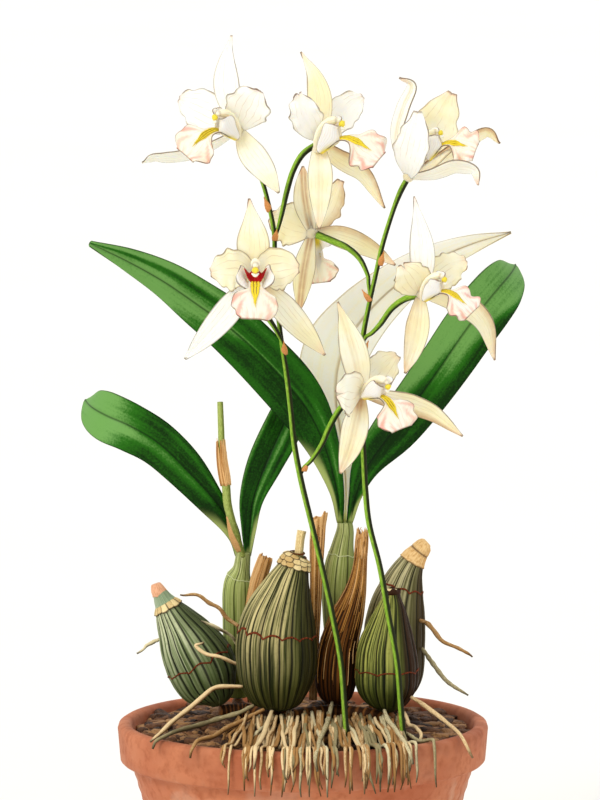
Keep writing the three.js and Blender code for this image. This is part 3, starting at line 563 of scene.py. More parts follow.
# Pan
def cut_drains(pan):
    """Cuts the drain holes through the floor of the pan."""
    drill = Body()
    for i in range(3):
        turn = (i / 3 + 0.25) * TURN
        foot = np.array([DRAIN_DISTANCE * math.cos(turn), DRAIN_DISTANCE * math.sin(turn), -6.0])
        tube(drill, [foot, foot + [0, 0, 10], foot + [0, 0, 20]], [DRAIN_RADIUS] * 3, 32, 2)
    cutter = add_mesh("drill", np.concatenate(drill.points), drill.faces)
    cut = pan.modifiers.new("drain", "BOOLEAN")
    cut.operation = "DIFFERENCE"
    cut.object = cutter
    cut.solver = "EXACT"
    bpy.context.view_layer.update()
    graph = bpy.context.evaluated_depsgraph_get()
    done = bpy.data.meshes.new_from_object(pan.evaluated_get(graph))
    pan.modifiers.clear()
    pan.data = done
    bpy.data.objects.remove(cutter)


def make_pan():
    rim_foot = PAN_HEIGHT - PAN_RIM_DEPTH
    inside = PAN_RIM_RADIUS - PAN_RIM_THICK
    outline = [(0.01, 0.4), (40, 0.4), (43, 0), (PAN_BASE_RADIUS - 1, 0), (PAN_BASE_RADIUS, 1)]
    for i in range(1, 24):
        s = i / 24
        radius = PAN_BASE_RADIUS + s * (PAN_SHOULDER_RADIUS - 1.5 - PAN_BASE_RADIUS)
        outline.append((radius + 0.16 * math.sin(s * 70), 1 + s * (rim_foot - 1)))
    outline.append((PAN_SHOULDER_RADIUS - 1.3, rim_foot - 0.2))
    for inset, rise in ((2, -0.2), (1.2, 0.6), (0.8, 5), (0.4, 10)):
        outline.append((PAN_RIM_RADIUS - inset, rim_foot + rise))
    for inset, drop in ((0.1, 2.6), (0.6, 1), (2, 0.1),
                        (PAN_RIM_THICK - 1.6, 0.1), (PAN_RIM_THICK - 0.3, 1.2)):
        outline.append((PAN_RIM_RADIUS - inset, PAN_HEIGHT - drop))
    outline += [(inside, PAN_HEIGHT - 2.4), (PAN_SHOULDER_RADIUS - PAN_WALL, rim_foot),
                (PAN_BASE_RADIUS - PAN_WALL + 1, PAN_FLOOR), (0.01, PAN_FLOOR)]
    radius, height = np.array(outline).T[..., None]
    angle = np.arange(PAN_SIDES)[None, :] / PAN_SIDES * TURN
    radius = radius * (1 + 0.0025 * np.sin(2 * angle + 0.7) * smooth(0, 60, height))
    body = Body()
    rings(body, stack(radius * np.cos(angle), radius * np.sin(angle), height), (0, 0, 0), (0, 0, 0, 0))
    cut_drains(make("pan_clay", body, [CLAY], ["pan"]))


# Bark
def bark_level(radius):
    """Height of the bark, which is a little crowned in the middle."""
    return BARK_CROWN - (BARK_CROWN - BARK_EDGE) * (radius / BARK_REACH) ** 2


def chip(body, rng, centre, size, turn, tip):
    """One rough splinter of bark: a bent slab with broken ends."""
    length, width, depth = size
    rows, sides = 7, 10
    t = np.linspace(-1, 1, rows)[:, None]
    angle = (np.arange(sides) / sides * TURN)[None, :]
    rough = 1 + rng.uniform(-0.16, 0.16, (rows, sides))
    square = 1 / np.maximum(np.abs(np.cos(angle)), np.abs(np.sin(angle))) ** 0.7
    reach = square / 2 * np.where(np.abs(t) > 0.9, 0.62, 1.0) * rough
    x = t * length / 2 * (1 + rng.uniform(-0.1, 0.1, (rows, sides)))
    y = np.cos(angle) * width * reach
    z = np.sin(angle) * depth * reach + 0.12 * length * t ** 2 * rng.uniform(-0.5, 0.6)
    cx, sx = math.cos(turn), math.sin(turn)
    ct, st = math.cos(tip), math.sin(tip)
    grid = stack(x * cx * ct - y * sx + z * st * cx, x * sx * ct + y * cx + z * st * sx, z * ct - x * st)
    place = stack(x + 40 * rng.random(), y, z)
    rings(body, grid + centre, place, (rng.random(), 0, 0, 0))


def make_bark():
    body = Body()
    count, sides = 26, 96
    inside = PAN_RIM_RADIUS - PAN_RIM_THICK
    radius = np.linspace(0.02, 1, count)[:, None] * (inside - 0.8)
    angle = (np.arange(sides) / sides * TURN)[None, :]
    x, y = radius * np.cos(angle), radius * np.sin(angle)
    bumps = waves(3, 7, 0.2, 0.6)(x) + waves(4, 7, 0.2, 0.6)(y)
    top = stack(x, y, bark_level(radius) - BARK_UNDER_CHIPS + 0.5 * bumps)
    low = stack(0.93 * x, 0.93 * y, BARK_BOTTOM)[::-1]
    hubs = [[0, 0, BARK_CROWN - BARK_UNDER_CHIPS], [0, 0, BARK_BOTTOM]]
    rings(body, np.concatenate([top, low]), (0.5, 0.5, 0.5), (0.05, 0, 0, 0), hubs=hubs)
    rng = np.random.default_rng(11)
    for i in range(CHIPS):
        length = rng.uniform(5, 13) if i % 3 else rng.uniform(3, 6)
        size = (length, length * rng.uniform(0.4, 0.75), rng.uniform(1.8, 3.4))
        spread = math.sqrt(rng.random()) * (inside - 3.5)
        turn = rng.uniform(0, TURN)
        level = bark_level(spread) - rng.uniform(0.9, 2.6)
        centre = np.array([spread * math.cos(turn), spread * math.sin(turn), level])
        chip(body, rng, centre, size, rng.uniform(0, TURN), rng.normal(0, 0.16))
    make("bark_chips", body, [BARK], ["bark_medium"])


make_pan()
make_bark()


# Bulbs and shoots
class Bulb:
    """Ribbed bulb. It keeps its own surface, so that rings, scales and collars sit on it."""

    def __init__(self, body, stations, ribs, depth, sharp, seed, hues, sides=230, steps=88, foot=0.3):
        points, radii = path(stations)
        self.ribs, self.depth, self.sharp = ribs, depth, sharp
        self.hues = hues
        self.foot = foot
        self.sway = waves(seed, 4, 2, 7)
        self.wrinkle = waves(seed + 50, 6, 18, 60)
        self.dent = waves(seed + 90, 5, 5, 24)
        self.fine = np.linspace(0, 1, 401)
        centres, _, across, other = frames(points, self.fine)
        reach = np.maximum(spline(radii, self.fine), 0.1)
        self.lines = np.column_stack([centres, across, other, reach]).T
        tube(body, points, radii, sides, steps, self.form, self.marks)

    def groove(self, t, angle):
        phase = self.ribs * angle + 1.5 * self.sway(angle) + 0.35 * self.sway(3 + t * 2)
        fine = 0.45 * (0.5 + 0.5 * np.cos(2.7 * phase + 1)) ** 8
        faint = np.clip(0.55 + 0.45 * self.dent(angle + 0.5 * t), 0, 1)
        return np.maximum((0.5 + 0.5 * np.cos(phase)) ** self.sharp, fine * faint)

    def form(self, t, angle):
        ease = smooth(0.0, 0.12, t) * (1 - 0.5 * smooth(0.7, 1.0, t))
        swell = 0.008 * np.cos(0.5 * self.ribs * angle)
        rough = 0.004 * self.wrinkle(angle + 0.2 * np.sin(4 * t)) + 0.006 * self.dent(t * 3 + angle)
        return 1 - self.depth * ease * self.groove(t, angle) + ease * (swell + rough)

    def on(self, t, angle, lift=0.0):
        """Points on the surface, raised by lift mm."""
        t, angle = np.broadcast_arrays(np.asarray(t, float), angle)
        lines = np.array([np.interp(t, self.fine, line) for line in self.lines])
        centre, across, other = (np.moveaxis(lines[i:i + 3], 0, -1) for i in (0, 3, 6))
        reach = lines[9] * self.form(t, angle) + lift
        return centre + spokes(across, other, angle) * reach[..., None]

    def marks(self, t, angle, outward):
        # Grooves, which the finishes paint near black as painted shade.
        groove = self.groove(t, angle) * smooth(0.02, 0.12, t)
        # Painted shade on the right side, away from the key light.
        right = smooth(0.05, 0.8, outward[..., 0])
        # Painted shade low on the bulb, at its foot.
        foot = (1 - smooth(0.03, self.foot, t)) ** 0.6 * (0.95 + 0.25 * self.dent(angle))
        # Hues: painted brown shade on the right side, and the share of light streaks, cut back at the foot.
        brown, shine = self.hues(t, outward)
        dark = np.clip(np.maximum(foot, right * 0.9), 0, 1)
        return stack(groove, brown, dark, shine * (1 - 0.8 * np.clip(foot, 0, 1)))

    def ring(self, body, level, drop, count, wide=0.008, lift=0.14):
        """Thin scalloped scale edge round the bulb."""
        angle = np.linspace(0, TURN, 361)
        wave = level - drop * (1 - np.abs(np.sin(angle * count / 2 + 0.6))) + 0.004 * self.sway(angle * 2)
        rows = np.stack([self.on(wave, angle, lift), self.on(wave + wide * 0.5, angle, lift + 0.06),
                         self.on(wave + wide, angle, lift * 0.2)])
        shell(body, rows, 0.22, stack(angle * 3, 0, 0), skin=1)

    def collar(self, body, low, high, count, lift, seed, bulge, drop=0.25):
        """Row of dry scales whose rounded lower edges stand off."""
        rng = np.random.default_rng(seed)
        for i in range(count):
            middle = (i + rng.uniform(-0.12, 0.12)) / count * TURN
            half = math.pi / count * rng.uniform(1.0, 1.25)
            u = np.array([-1, -0.93, -0.84, -0.6, -0.3, 0, 0.3, 0.6, 0.84, 0.93, 1])[None, :]
            v = np.array([0, 0.06, 0.14, 0.35, 0.6, 0.8, 1])[:, None]
            foot = low + (high - low) * (drop * u ** 2 + rng.uniform(-0.05, 0.08))
            rise = lift * (1 - v) * (1 - 0.3 * u ** 2) + bulge * np.sin(math.pi * v) * 0.5 + 0.15
            grid = self.on(foot + (high - foot) * v, middle + u * half, rise)
            edge = np.maximum(smooth(0.78, 0.93, np.abs(u)), 1 - smooth(0.04, 0.14, v))
            marks = stack(rng.uniform(-0.2, 0.3), edge * 0.9, 0, 0)
            place = stack(u * 3 + 9 * rng.random(), 20 * v, 0)
            shell(body, grid[:, ::-1], 0.4, place[:, ::-1], marks[:, ::-1], 2)


def shade_right(amount, low=0.4, high=0.95):
    """Painted shade in brown on the right side, and painted highlight streaks on the left front, where the
    key light falls.
    """
    def hues(t, outward):
        # Painted highlight where the surface faces the key light.
        lit = smooth(0.1, 0.8, -0.75 * outward[..., 0] - 0.55 * outward[..., 1] + 0.12)
        return amount * smooth(low, high, outward[..., 0]), 0.12 + 0.88 * lit * smooth(0.05, 0.4, t)
    return hues


def make_centre():
    body = Body()
    bulb = Bulb(body, [
        [-10.4, 84.3, -14, 3.5], [-10.4, 87.4, -14, 10], [-10.8, 95.5, -14, 15],
        [-10.8, 104.7, -14, 16.7], [-10.8, 114.7, -14, 16.4], [-9.2, 124.7, -14, 14.2],
        [-6.5, 134.7, -14, 10], [-4.2, 141.7, -13, 6.9], [-2.7, 146.3, -13, 5.4], [-1.9, 148.2, -13, 3.1],
    ], ribs=23, depth=0.045, sharp=6, seed=2, hues=shade_right(0.35), sides=300, steps=100, foot=0.5)
    bulb.ring(body, 0.47, 0.022, 13)
    bulb.collar(body, 0.80, 0.872, 13, lift=0.5, seed=6, bulge=0.35)
    bulb.collar(body, 0.85, 0.92, 11, lift=0.55, seed=7, bulge=0.35)
    bulb.collar(body, 0.90, 0.965, 9, lift=0.6, seed=8, bulge=0.35)
    x, y = np.cos(np.linspace(0, TURN, 25)), np.sin(np.linspace(0, TURN, 25))
    for level in ([-2.9, 147, -13, 4.1], [-2.4, 148.8, -13, 2.9]):
        hoop = at(level) + level[3] * stack(x, y, 0.08 * y - 0.1 * x)
        tube(body, hoop, [0.42] * 25, 8, 48, skin=3)
    stem = [[-1.9, 146.3, -13, 1.7], [-1.5, 150.1, -13, 1.7], [-1, 154.7, -13, 1.7],
            [-0.4, 157.8, -12.5, 1.8]]
    # Stalk above the bulb, with painted shade in dark brown on its right side.
    tube(body, *path(stem), 36, 16, lambda t, a: 1 + 0.09 * np.cos(7 * a) ** 3,
         lambda t, a, o: stack(0.5 * np.cos(7 * a) ** 2 - 0.2, 0.5 * smooth(0.3, 0.95, o[..., 0]), 0, 0), 2)
    make("bulb_centre", body, [BULB, RING, SCALE, SHEATH], ["pseudobulb_centre"])


def make_left():
    body = Body()
    bulb = Bulb(body, [
        [-34.6, 85.6, 3, 2.7], [-35.8, 89.3, 3, 8.5], [-38.9, 95.1, 3, 13.1], [-42, 102.4, 3, 14.4],
        [-45.8, 109.3, 3, 13.3], [-49.7, 116.2, 3, 10.6], [-53.9, 123.2, 2, 7.1],
        [-55.8, 126.6, 2, 5.2], [-57, 128.6, 2, 3.5], [-57.4, 129.3, 1, 1.9],
    ], ribs=19, depth=0.055, sharp=3, seed=3, hues=shade_right(0.5, 0.2, 0.8), sides=240, steps=90, foot=0.62)
    bulb.ring(body, 0.36, 0.02, 9)
    bulb.collar(body, 0.725, 0.835, 14, lift=0.4, seed=9, bulge=0.25, drop=0.08)
    neck = [[-56.2, 127.4, 2, 4.9], [-57.2, 129.1, 1.8, 4.1], [-58.1, 130.9, 1.5, 3.4],
            [-59.1, 132.8, 1.2, 2.8]]
    # Neck with painted brown shade on its right side and painted highlight streaks on its left side.
    tube(body, *path(neck), 40, 12, None,
         lambda t, a, o: stack(0, 0.2 * smooth(0, 1, o[..., 0]), 0, 0.6 * smooth(0, 0.8, -o[..., 0])), 4)
    cap = [[-58.7, 131.8, 1.5, 3.2], [-59.3, 133, 1.2, 3], [-59.9, 134.5, 1, 2.5], [-60.3, 135.7, 1, 1.9]]
    tube(body, *path(cap), 32, 12,
         lambda t, a: 1 + 0.05 * np.sin(4 * a + 1) * t + 0.08 * smooth(0.12, 0, t) * np.sin(7 * a),
         lambda t, a, o: stack(0, 0.6 * smooth(0.92, 1, 1 - t), 0, 0), 3)
    make("bulb_left", body, [BULB_PALE, RING, SCALE, PINK_CAP, NECK], ["pseudobulb_left"])


def make_right_front():
    body = Body()
    bulb = Bulb(body, [
        [34.6, 83.9, -14, 3.1], [34.6, 87.4, -14, 8.5], [34.3, 93.9, -14, 12.5],
        [34.3, 101.6, -14, 12.9], [34.3, 109.3, -14, 12.1], [35, 117, -14, 9.8],
        [35.8, 124.7, -14, 6.7], [36.2, 130.1, -13, 4], [36.2, 132.4, -13, 3.3],
    ], ribs=15, depth=0.05, sharp=6, seed=4, hues=shade_right(0.85, 0.35, 0.75), foot=0.45)
    bulb.ring(body, 0.37, 0.02, 9)
    angle = np.linspace(0, TURN, 73)
    ragged = 0.7 * waves(8, 5, 2, 6)(angle)
    up = np.array([0, 0, 1.0])
    rise = [(0.985, 0.05, 0.0), (0.998, 0.3, 0.8), (0.998, 0.1, 1.4), (0.998, -0.6, 1.6), (0.998, -1.0, 1.0)]
    lip = np.stack([bulb.on(level, angle, out) + up * (high + ragged * (high > 0.5))[..., None]
                    for level, out, high in rise])
    shell(body, lip, 0.35, marks=(0.8, 0, 0, 0), skin=3)
    inner = bulb.on(0.998, angle, -0.7)
    share = np.array([1.0, 0.7, 0.35, 0.03])[:, None, None]
    pith = inner * share + inner.mean(0) * (1 - share) + up * (0.8 + 0.5 * share)
    shell(body, pith, 0.3, marks=(-0.3, 0, 0, 0), skin=2)
    make("bulb_right_front", body, [BULB_DARK, RING, SCALE, SHEATH], ["pseudobulb_right_front"])


def make_right_back():
    body = Body()
    bulb = Bulb(body, [
        [37, 87.2, 13, 3.5], [37.3, 90.8, 13, 8.9], [37.7, 98.5, 13, 12.1], [37.7, 108.5, 13, 12.7],
        [38.1, 118.6, 13, 12.5], [39.3, 127.8, 13, 11], [41.6, 136.7, 13, 8.1],
        [43.9, 142.4, 13, 6], [46.6, 147, 13, 4.2], [48.9, 149.7, 13, 2.7],
    ], ribs=15, depth=0.045, sharp=9, seed=5, hues=shade_right(0.8, 0.45, 0.8))
    bulb.ring(body, 0.635, 0.016, 9)
    cap = [[44.9, 144.4, 13, 5.5], [45.8, 145.9, 13, 5.1], [47.2, 147.8, 13, 4.4], [48.7, 149.7, 13, 3.9],
           [50.2, 151.5, 13, 3.2], [51.2, 152.4, 13, 1.9]]

    def form(t, a):
        return 1 + 0.02 * np.sin(6 * a) - 0.05 * peak(t, 0.5, 0.035) + 0.03 * smooth(0.1, 0, t)

    def marks(t, a, outward):
        foot = smooth(0.05, 0.0, t - 0.03 * np.abs(np.sin(4 * a)))
        # Painted shade on the right side, a dark band round the middle, and a darker foot.
        return stack(0.3 * smooth(0.2, 1, outward[..., 0]), 0.9 * peak(t, 0.5, 0.035) + 0.8 * foot, 0, 0)

    tube(body, *path(cap), 48, 24, form, marks, 2)
    make("bulb_right_back", body, [BULB_BACK, RING, CAP], ["pseudobulb_right_back"])


def strip(body, points, width, skin, tone=0.0, steps=14, thick=0.22):
    """Thin papery fibre through the points."""
    widths = [width * 0.55, width, width, width * 0.7, width * 0.25]
    grid, t, _, offset = blade(points, widths, widths, (0, 0), lambda t, u, o: 0.18 * np.abs(o), steps,
                               (-1, -0.4, 0.4, 1))
    shell(body, grid, thick, stack(offset + 7 * tone, t * 40, 0), (tone, 0, 0, 0), skin)


def sheath_hues(t, outward):
    """Painted shade in brown on the right side, and lighter streaks toward the top."""
    return 0.5 * smooth(0.2, 0.9, outward[..., 0]), 0.25 + 0.75 * smooth(0.4, 0.75, t)


def make_sheathed():
    body = Body()
    core = Bulb(body, [
        [13.5, 86.2, 0, 2.7], [13.5, 88.9, 0, 6.5], [13.5, 95.5, 0, 8.5], [13.9, 103.2, 0, 8.5],
        [15, 111.6, 0, 7.7], [18.1, 122, -1, 6.7], [21.2, 131.6, -2, 4.4], [23.1, 141.3, -2, 2.7],
        [23.9, 150.1, -2, 2.1], [24.3, 156.3, -2, 1.9],
    ], ribs=26, depth=0.035, sharp=1.6, seed=21, hues=sheath_hues, sides=220, steps=110)
    rng = np.random.default_rng(31)
    for i in range(150):
        angle = rng.uniform(0, TURN)
        low = i % 5 == 0
        start = rng.uniform(0.2, 0.45) if low else rng.uniform(0.42, 0.7)
        stop = start + rng.uniform(0.1, 0.25) if low else rng.uniform(0.85, 1.0)
        t = np.linspace(start, stop, 6)
        turn = angle + rng.uniform(-0.3, 0.3) * (t - start)
        points = core.on(t, turn, 0.12 + rng.uniform(0, 0.5) * np.linspace(0, 1, 6) ** 3)
        strip(body, points, rng.uniform(0.1, 0.26), 1 + (i % 3 == 0), rng.uniform(-0.4, 0.5), 16, 0.16)
    for i in range(26):
        angle = i / 26 * TURN + rng.uniform(-0.1, 0.1)
        base = core.on([0.84, 0.93, 0.995], angle, 0.25)
        tip = base[-1] + (base[-1] - base[-2]) * rng.uniform(0.2, 0.8) + rng.normal(0, 0.35, 3)
        strip(body, np.vstack([base, tip]), rng.uniform(0.25, 0.6), 2, rng.uniform(-0.3, 0.3), 10, 0.18)
    make("bulb_sheathed", body, [SHEATH_BULB, FIBRE, STRAW], ["pseudobulb_sheathed"])


def shoot_hues(t, outward):
    return 0, 0.2 + 0.6 * smooth(0.5, 0.9, t)


def make_shoot(side, stations, depth, seed, level, scallops):
    body = Body()
    shoot = Bulb(body, stations, ribs=9, depth=depth, sharp=8, seed=seed, hues=shoot_hues,
                 sides=160, steps=80)
    shoot.ring(body, level, 0.012, scallops, wide=0.006, lift=0.08)
    make(f"shoot_{side}_visual", body, [SHOOT, SHOOT_EDGE], [f"shoot_{side}"])


make_centre()
make_left()
make_right_front()
make_right_back()
make_sheathed()
make_shoot("left", [
    [-26.9, 88.1, 19, 3.5], [-26.9, 96.2, 19, 5], [-26.9, 108.5, 19, 6], [-26.9, 122, 19, 6.4],
    [-26.9, 130.9, 19, 6.4], [-26.6, 136.7, 19, 5.6], [-25.4, 141.3, 18, 3.7],
    [-24.8, 145.5, 17, 3.2], [-24.6, 148.6, 16.5, 3.1],
], depth=0.03, seed=41, level=0.665, scallops=5)
make_shoot("right", [
    [16.9, 88.1, 17, 3.5], [16.6, 96.2, 17, 4.6], [15.4, 108.5, 17, 5.8], [14.6, 122, 17, 6.5],
    [14.6, 132.4, 17, 6.9], [15.4, 143.2, 17, 6.4], [16.2, 150.1, 17, 4.8], [17.3, 156.7, 17, 3.7],
    [17.3, 160.5, 17, 3.1],
], depth=0.025, seed=43, level=0.70, scallops=6)


# Dry remains, which draw from one source of random numbers
def make_tall_sheath(rng):
    body = Body()
    points, radii = path([[4.2, 87.4, 11, 1.5], [4.2, 104.7, 11, 1.8], [5, 122, 10, 2], [5.4, 139.3, 9, 2.4],
                          [5.8, 152.8, 9, 2.9], [6.5, 162.8, 9, 2.8]])
    t = np.linspace(0, 1, 50)
    centres, ahead, across, other = frames(points, t)
    angle = np.linspace(-2.6, 2.6, 30)[None, :]
    top = smooth(0.88, 1.0, t)[:, None]
    t = t[:, None]
    reach = spline(radii, t[:, 0])[:, None] * (1 + 0.03 * np.sin(7 * angle)) * (1 + 0.2 * smooth(0.9, 1.0, t))
    spread = spokes(across[:, None], other[:, None], angle)
    ragged = (0.8 * waves(53, 5, 3, 9)(angle) + 3.2 * peak(angle, -0.1, 0.7)) * top
    grid = centres[:, None] + spread * reach[..., None] + ahead[:, None] * ragged[..., None]
    marks = stack(0.3 * np.sin(9 * angle), 0.5 * smooth(0.35, 0.0, t), 0, 0)
    shell(body, grid, 0.35, stack(angle * 2, 60 * t, 0), marks)
    for _ in range(22):
        turn = rng.uniform(-2.4, 2.4)
        t = np.linspace(rng.uniform(0, 0.5), rng.uniform(0.75, 1.0), 6)
        line, _ = around(points, t, turn, spline(radii, t) + 0.2)
        strip(body, line, 0.14, 1, rng.uniform(-0.3, 0.6), 16, 0.16)
    core = [[4.2, 89.3, 11, 0.8], [5, 122, 10, 0.9], [5.4, 143.2, 9, 0.8], [5.8, 156.3, 9, 0.5]]
    tube(body, *path(core), 12, 24, lambda t, a: 1 + 0.15 * np.sin(3 * a + 9 * t), skin=2)
    make("sheath_tall_visual", body, [STRAW, FIBRE, SHEATH], ["sheath_tall"])


def make_stub(rng):
    body = Body()
    points, radii = path([[-21.2, 86.6, 4.5, 1.5], [-21.9, 104.7, 5.5, 1.9], [-21.9, 120.1, 5, 2.1],
                          [-19.2, 134, 4, 2.2], [-15.4, 145.9, 3, 2.4]])
    # Ribbed stub with painted shade in brown on its right side.
    tube(body, points, radii, 40, 60,
         lambda t, a: 1 + 0.07 * np.cos(9 * a + 2 * t) - 0.25 * smooth(0.965, 1, t),
         lambda t, a, o: stack(0.25 + 0.25 * np.cos(9 * a + 2 * t), 0.35 * smooth(0.1, 0.9, o[..., 0]), 0, 0))
    for i in range(14):
        turn = i / 14 * TURN + rng.uniform(-0.15, 0.15)
        t = np.linspace(rng.uniform(0.5, 0.8), 1, 5)
        line, ahead = around(points, t, turn, spline(radii, t) * 1.02 + 0.1)
        line = np.vstack([line, line[-1] + ahead[-1] * rng.uniform(0.4, 1.7)])
        strip(body, line, rng.uniform(0.6, 1.0), 1, rng.uniform(-0.3, 0.5))
    make("stub_brown_visual", body, [STUB, STRAW], ["stub_brown"])


def make_old_spike(rng):
    body = Body()
    points, radii = path([[-24.6, 146.7, 14.6, 1.2], [-28.1, 157.8, 11, 1.5], [-30.8, 167.8, 9, 1.7],
                          [-31.6, 176.7, 8, 1.7], [-33.1, 187.5, 8, 1.4], [-33.5, 199, 8, 1.3],
                          [-33.9, 210.2, 8, 1.2]])
    # Old spike with painted shade on its right side.
    tube(body, points, radii, 20, 80, lambda t, a: 1 + 0.12 * peak(t, 0.5, 0.012) + 0.04 * np.cos(5 * a),
         lambda t, a, o: stack(0.4 * smooth(0, 0.9, o[..., 0]), 0.5 * smooth(0.2, 1, o[..., 0]), 0, 0))
    for i in range(26):
        turn = i / 26 * TURN + rng.uniform(-0.15, 0.15)
        t = np.linspace(0.485 + rng.uniform(0, 0.012), rng.uniform(0.68, 0.8), 5)
        flare = 0.5 * np.linspace(0, 1, 5) ** 2 * rng.random()
        line, _ = around(points, t, turn, spline(radii, t) + 0.25 + flare)
        strip(body, line, rng.uniform(0.35, 0.7), 1, rng.uniform(-0.4, 0.4))
    bract = [at(s) for s in ([-26.2, 148.6, 12], [-27.7, 151.7, 10], [-29.6, 156.3, 8], [-31.2, 163.2, 6])]
    widths = [0.9, 1.3, 1.0, 0.25]
    grid, t, _, offset = blade(bract, widths, widths, (10, 10), steps=16)
    shell(body, grid, 0.35, stack(offset, t * 30, 0), skin=1)
    make("spike_old_visual", body, [STALK_OLD, STRAW], ["spike_old"])


def make_runner(body, route):
    """Length of creeping stem with a swelling at each joint."""
    joints = 3 * len(route)

    def swell(t):
        return 0.5 + 0.5 * np.cos(TURN * joints * t)

    points = [np.array([x, y, RHIZOME_LEVEL]) for x, y in route]
    tube(body, points, [2.3] + [2.8] * (len(route) - 2) + [2.3], 24, 16 * len(route),
         lambda t, a: 1 + 0.1 * swell(t) ** 6 + 0.03 * np.sin(3 * a + 20 * t),
         lambda t, a, o: stack(0.4 - 0.9 * swell(t) ** 6, 0.25 * swell(t) ** 8, 0, 0))


def make_rhizome():
    body = Body()
    make_runner(body, [(-34, 3), (-28, 5), (-21, 4), (-11, -11), (3, -2), (14, 1), (25, -4), (36, -14)])
    make_runner(body, [(-22, 4), (-26, 12), (-27, 23)])
    make_runner(body, [(4, -2), (6, 11), (17, 21)])
    make_runner(body, [(24, -4), (31, 6), (39, 19)])
    make("rhizome_visual", body, [SHEATH], ["rhizome"])


DRY = np.random.default_rng(52)
make_tall_sheath(DRY)
make_stub(DRY)
make_old_spike(DRY)
make_rhizome()


# Leaves: stations of the midrib from base to tip, half widths, and how their bands run
def make_leaf(name, stations, left, right, bands, seed, turn=(0, 0), pale=0.07, fold=(1, 0.01),
              finish=LEAF, node=None):
    sway = waves(seed, 4, 3, 9)

    def lift(t, u, offset):
        crease = np.sqrt(offset ** 2 + 1.2) - 1.1
        ripple = 0.9 * np.abs(u) ** 2 * sway(t * 2 + np.sign(u)) * smooth(0.1, 0.4, t)
        return (0.16 + 0.5 * (1 - smooth(0.0, 0.2, t))) * crease - 0.35 * peak(offset, 0, 0.7) + ripple

    grid, t, u, offset = blade([at(s) for s in stations], left, right, turn, lift, 72, ACROSS_FINE)
    base = 1 - smooth(pale * 0.4, pale, t + 0.05 * np.abs(u))
    side, end = fold
    folded = smooth(0.35, 0.6, u * side) * (1 - smooth(end * 0.6, end, t + 0.1 * (1 - np.abs(u))))
    base = np.maximum(base, folded)
    marks = stack(bands(t, u), base, smooth(0.955, 1.0, np.abs(u)), peak(offset, 0, 0.5) * (1 - base))
    body = Body()
    shell(body, grid, 0.5 + 0.7 * (1 - u ** 2), stack(u, 90 * t, offset), marks)
    make(f"leaf_{name}_visual", body, [finish], [node or f"leaf_{name}"])


def bands_long_left(t, u):
    far = smooth(0.5, 0.78, t)
    upper = 0.22 + 0.6 * far - 0.55 * peak(u, 0.5, 0.12) * far
    upper += 0.4 * peak(u, 0.08, 0.06) * smooth(0.2, 0.4, t)
    upper += 0.3 * peak(u, 0.78, 0.12) * smooth(0.25, 0.5, t)
    upper += 0.35 * peak(u, 0.45, 0.14) * (1 - smooth(0.25, 0.4, t))
    lower = 0.12 + 0.8 * smooth(0.52, 0.72, t - 0.25 * np.abs(u) + 0.1)
    lower += 0.3 * smooth(0.55, 0.9, -u) * smooth(0.25, 0.5, t)
    return np.where(u > 0, upper, lower)


def bands_right(t, u):
    wedge = smooth(0.38, 0.62, t + 0.35 * np.maximum(-u, 0) - 0.05)
    upper = 0.12 + 0.82 * wedge + 0.3 * (1 - wedge) * peak(u, -0.7, 0.15)
    lower = 0.12 + 0.8 * smooth(0.32, 0.6, t) * (1 - smooth(0.35, 0.75, u - 0.5 * smooth(0.6, 0.9, t)))
    lower += 0.3 * peak(u, 0.6, 0.1) * (1 - smooth(0.3, 0.45, t))
    return np.where(u < 0, upper, lower)


def bands_low_left(t, u):
    upper = 0.08 + 0.3 * peak(u, 0.7, 0.12) * (1 - smooth(0.4, 0.6, t))
    lower = 0.1 + 0.45 * peak(u, -0.25, 0.16) * smooth(0.15, 0.4, t)
    return np.where(u > 0, upper, lower) + 0.95 * smooth(0.46, 0.74, t - 0.06 * np.abs(u))


def bands_back_left(t, u):
    return 0.15 + 0.7 * peak(u, 0.3, 0.12) + 0.6 * smooth(0.75, 0.95, -u) + 0.35 * peak(u, 0.8, 0.1)


def bands_pale(t, u):
    return 0.85 - 0.75 * peak(np.abs(u), 0.42, 0.025) - 0.35 * smooth(0.5, 0.9, u) * smooth(0.6, 0.8, t)


make_leaf("long_left", [
    [15.4, 160.5, 16], [13.9, 174, 13], [8.9, 192.5, 10], [1.9, 207.1, 8], [-7.3, 218.7, 6],
    [-20, 231.7, 3], [-31.2, 241.4, 0], [-43.5, 250.2, -4], [-56.6, 259.1, -9], [-71.2, 267.2, -15],
    [-85.9, 274.1, -22],
],
    [1.3, 3.1, 7.7, 11.2, 11.9, 11.2, 10, 8.5, 6.2, 3.9, 1],
    [1.3, 3.1, 6.2, 9.2, 11.2, 11.2, 11.2, 10.4, 8.9, 5.8, 1.2],
    bands_long_left, seed=61, turn=(10, 0), pale=0.06, fold=(-1, 0.26))

make_leaf("right", [
    [19.2, 160.5, 16], [21.9, 172.5, 13], [26.9, 184.4, 11], [37, 198.3, 11], [47.7, 212.1, 12],
    [57.4, 226, 13], [66.6, 239.4, 16], [74.7, 250.2, 21], [81.2, 257.9, 29], [85.9, 263.3, 39],
    [88.5, 267.2, 50],
],
    [1.2, 3.1, 6.9, 9.2, 10, 10, 10.4, 10.4, 9.6, 6.9, 0.2],
    [1.2, 2.7, 5.4, 9.6, 10.8, 11.6, 11.9, 11.9, 10.8, 7.7, 0.2],
    bands_right, seed=62, turn=(-8, 0), pale=0.06, fold=(1, 0.14))

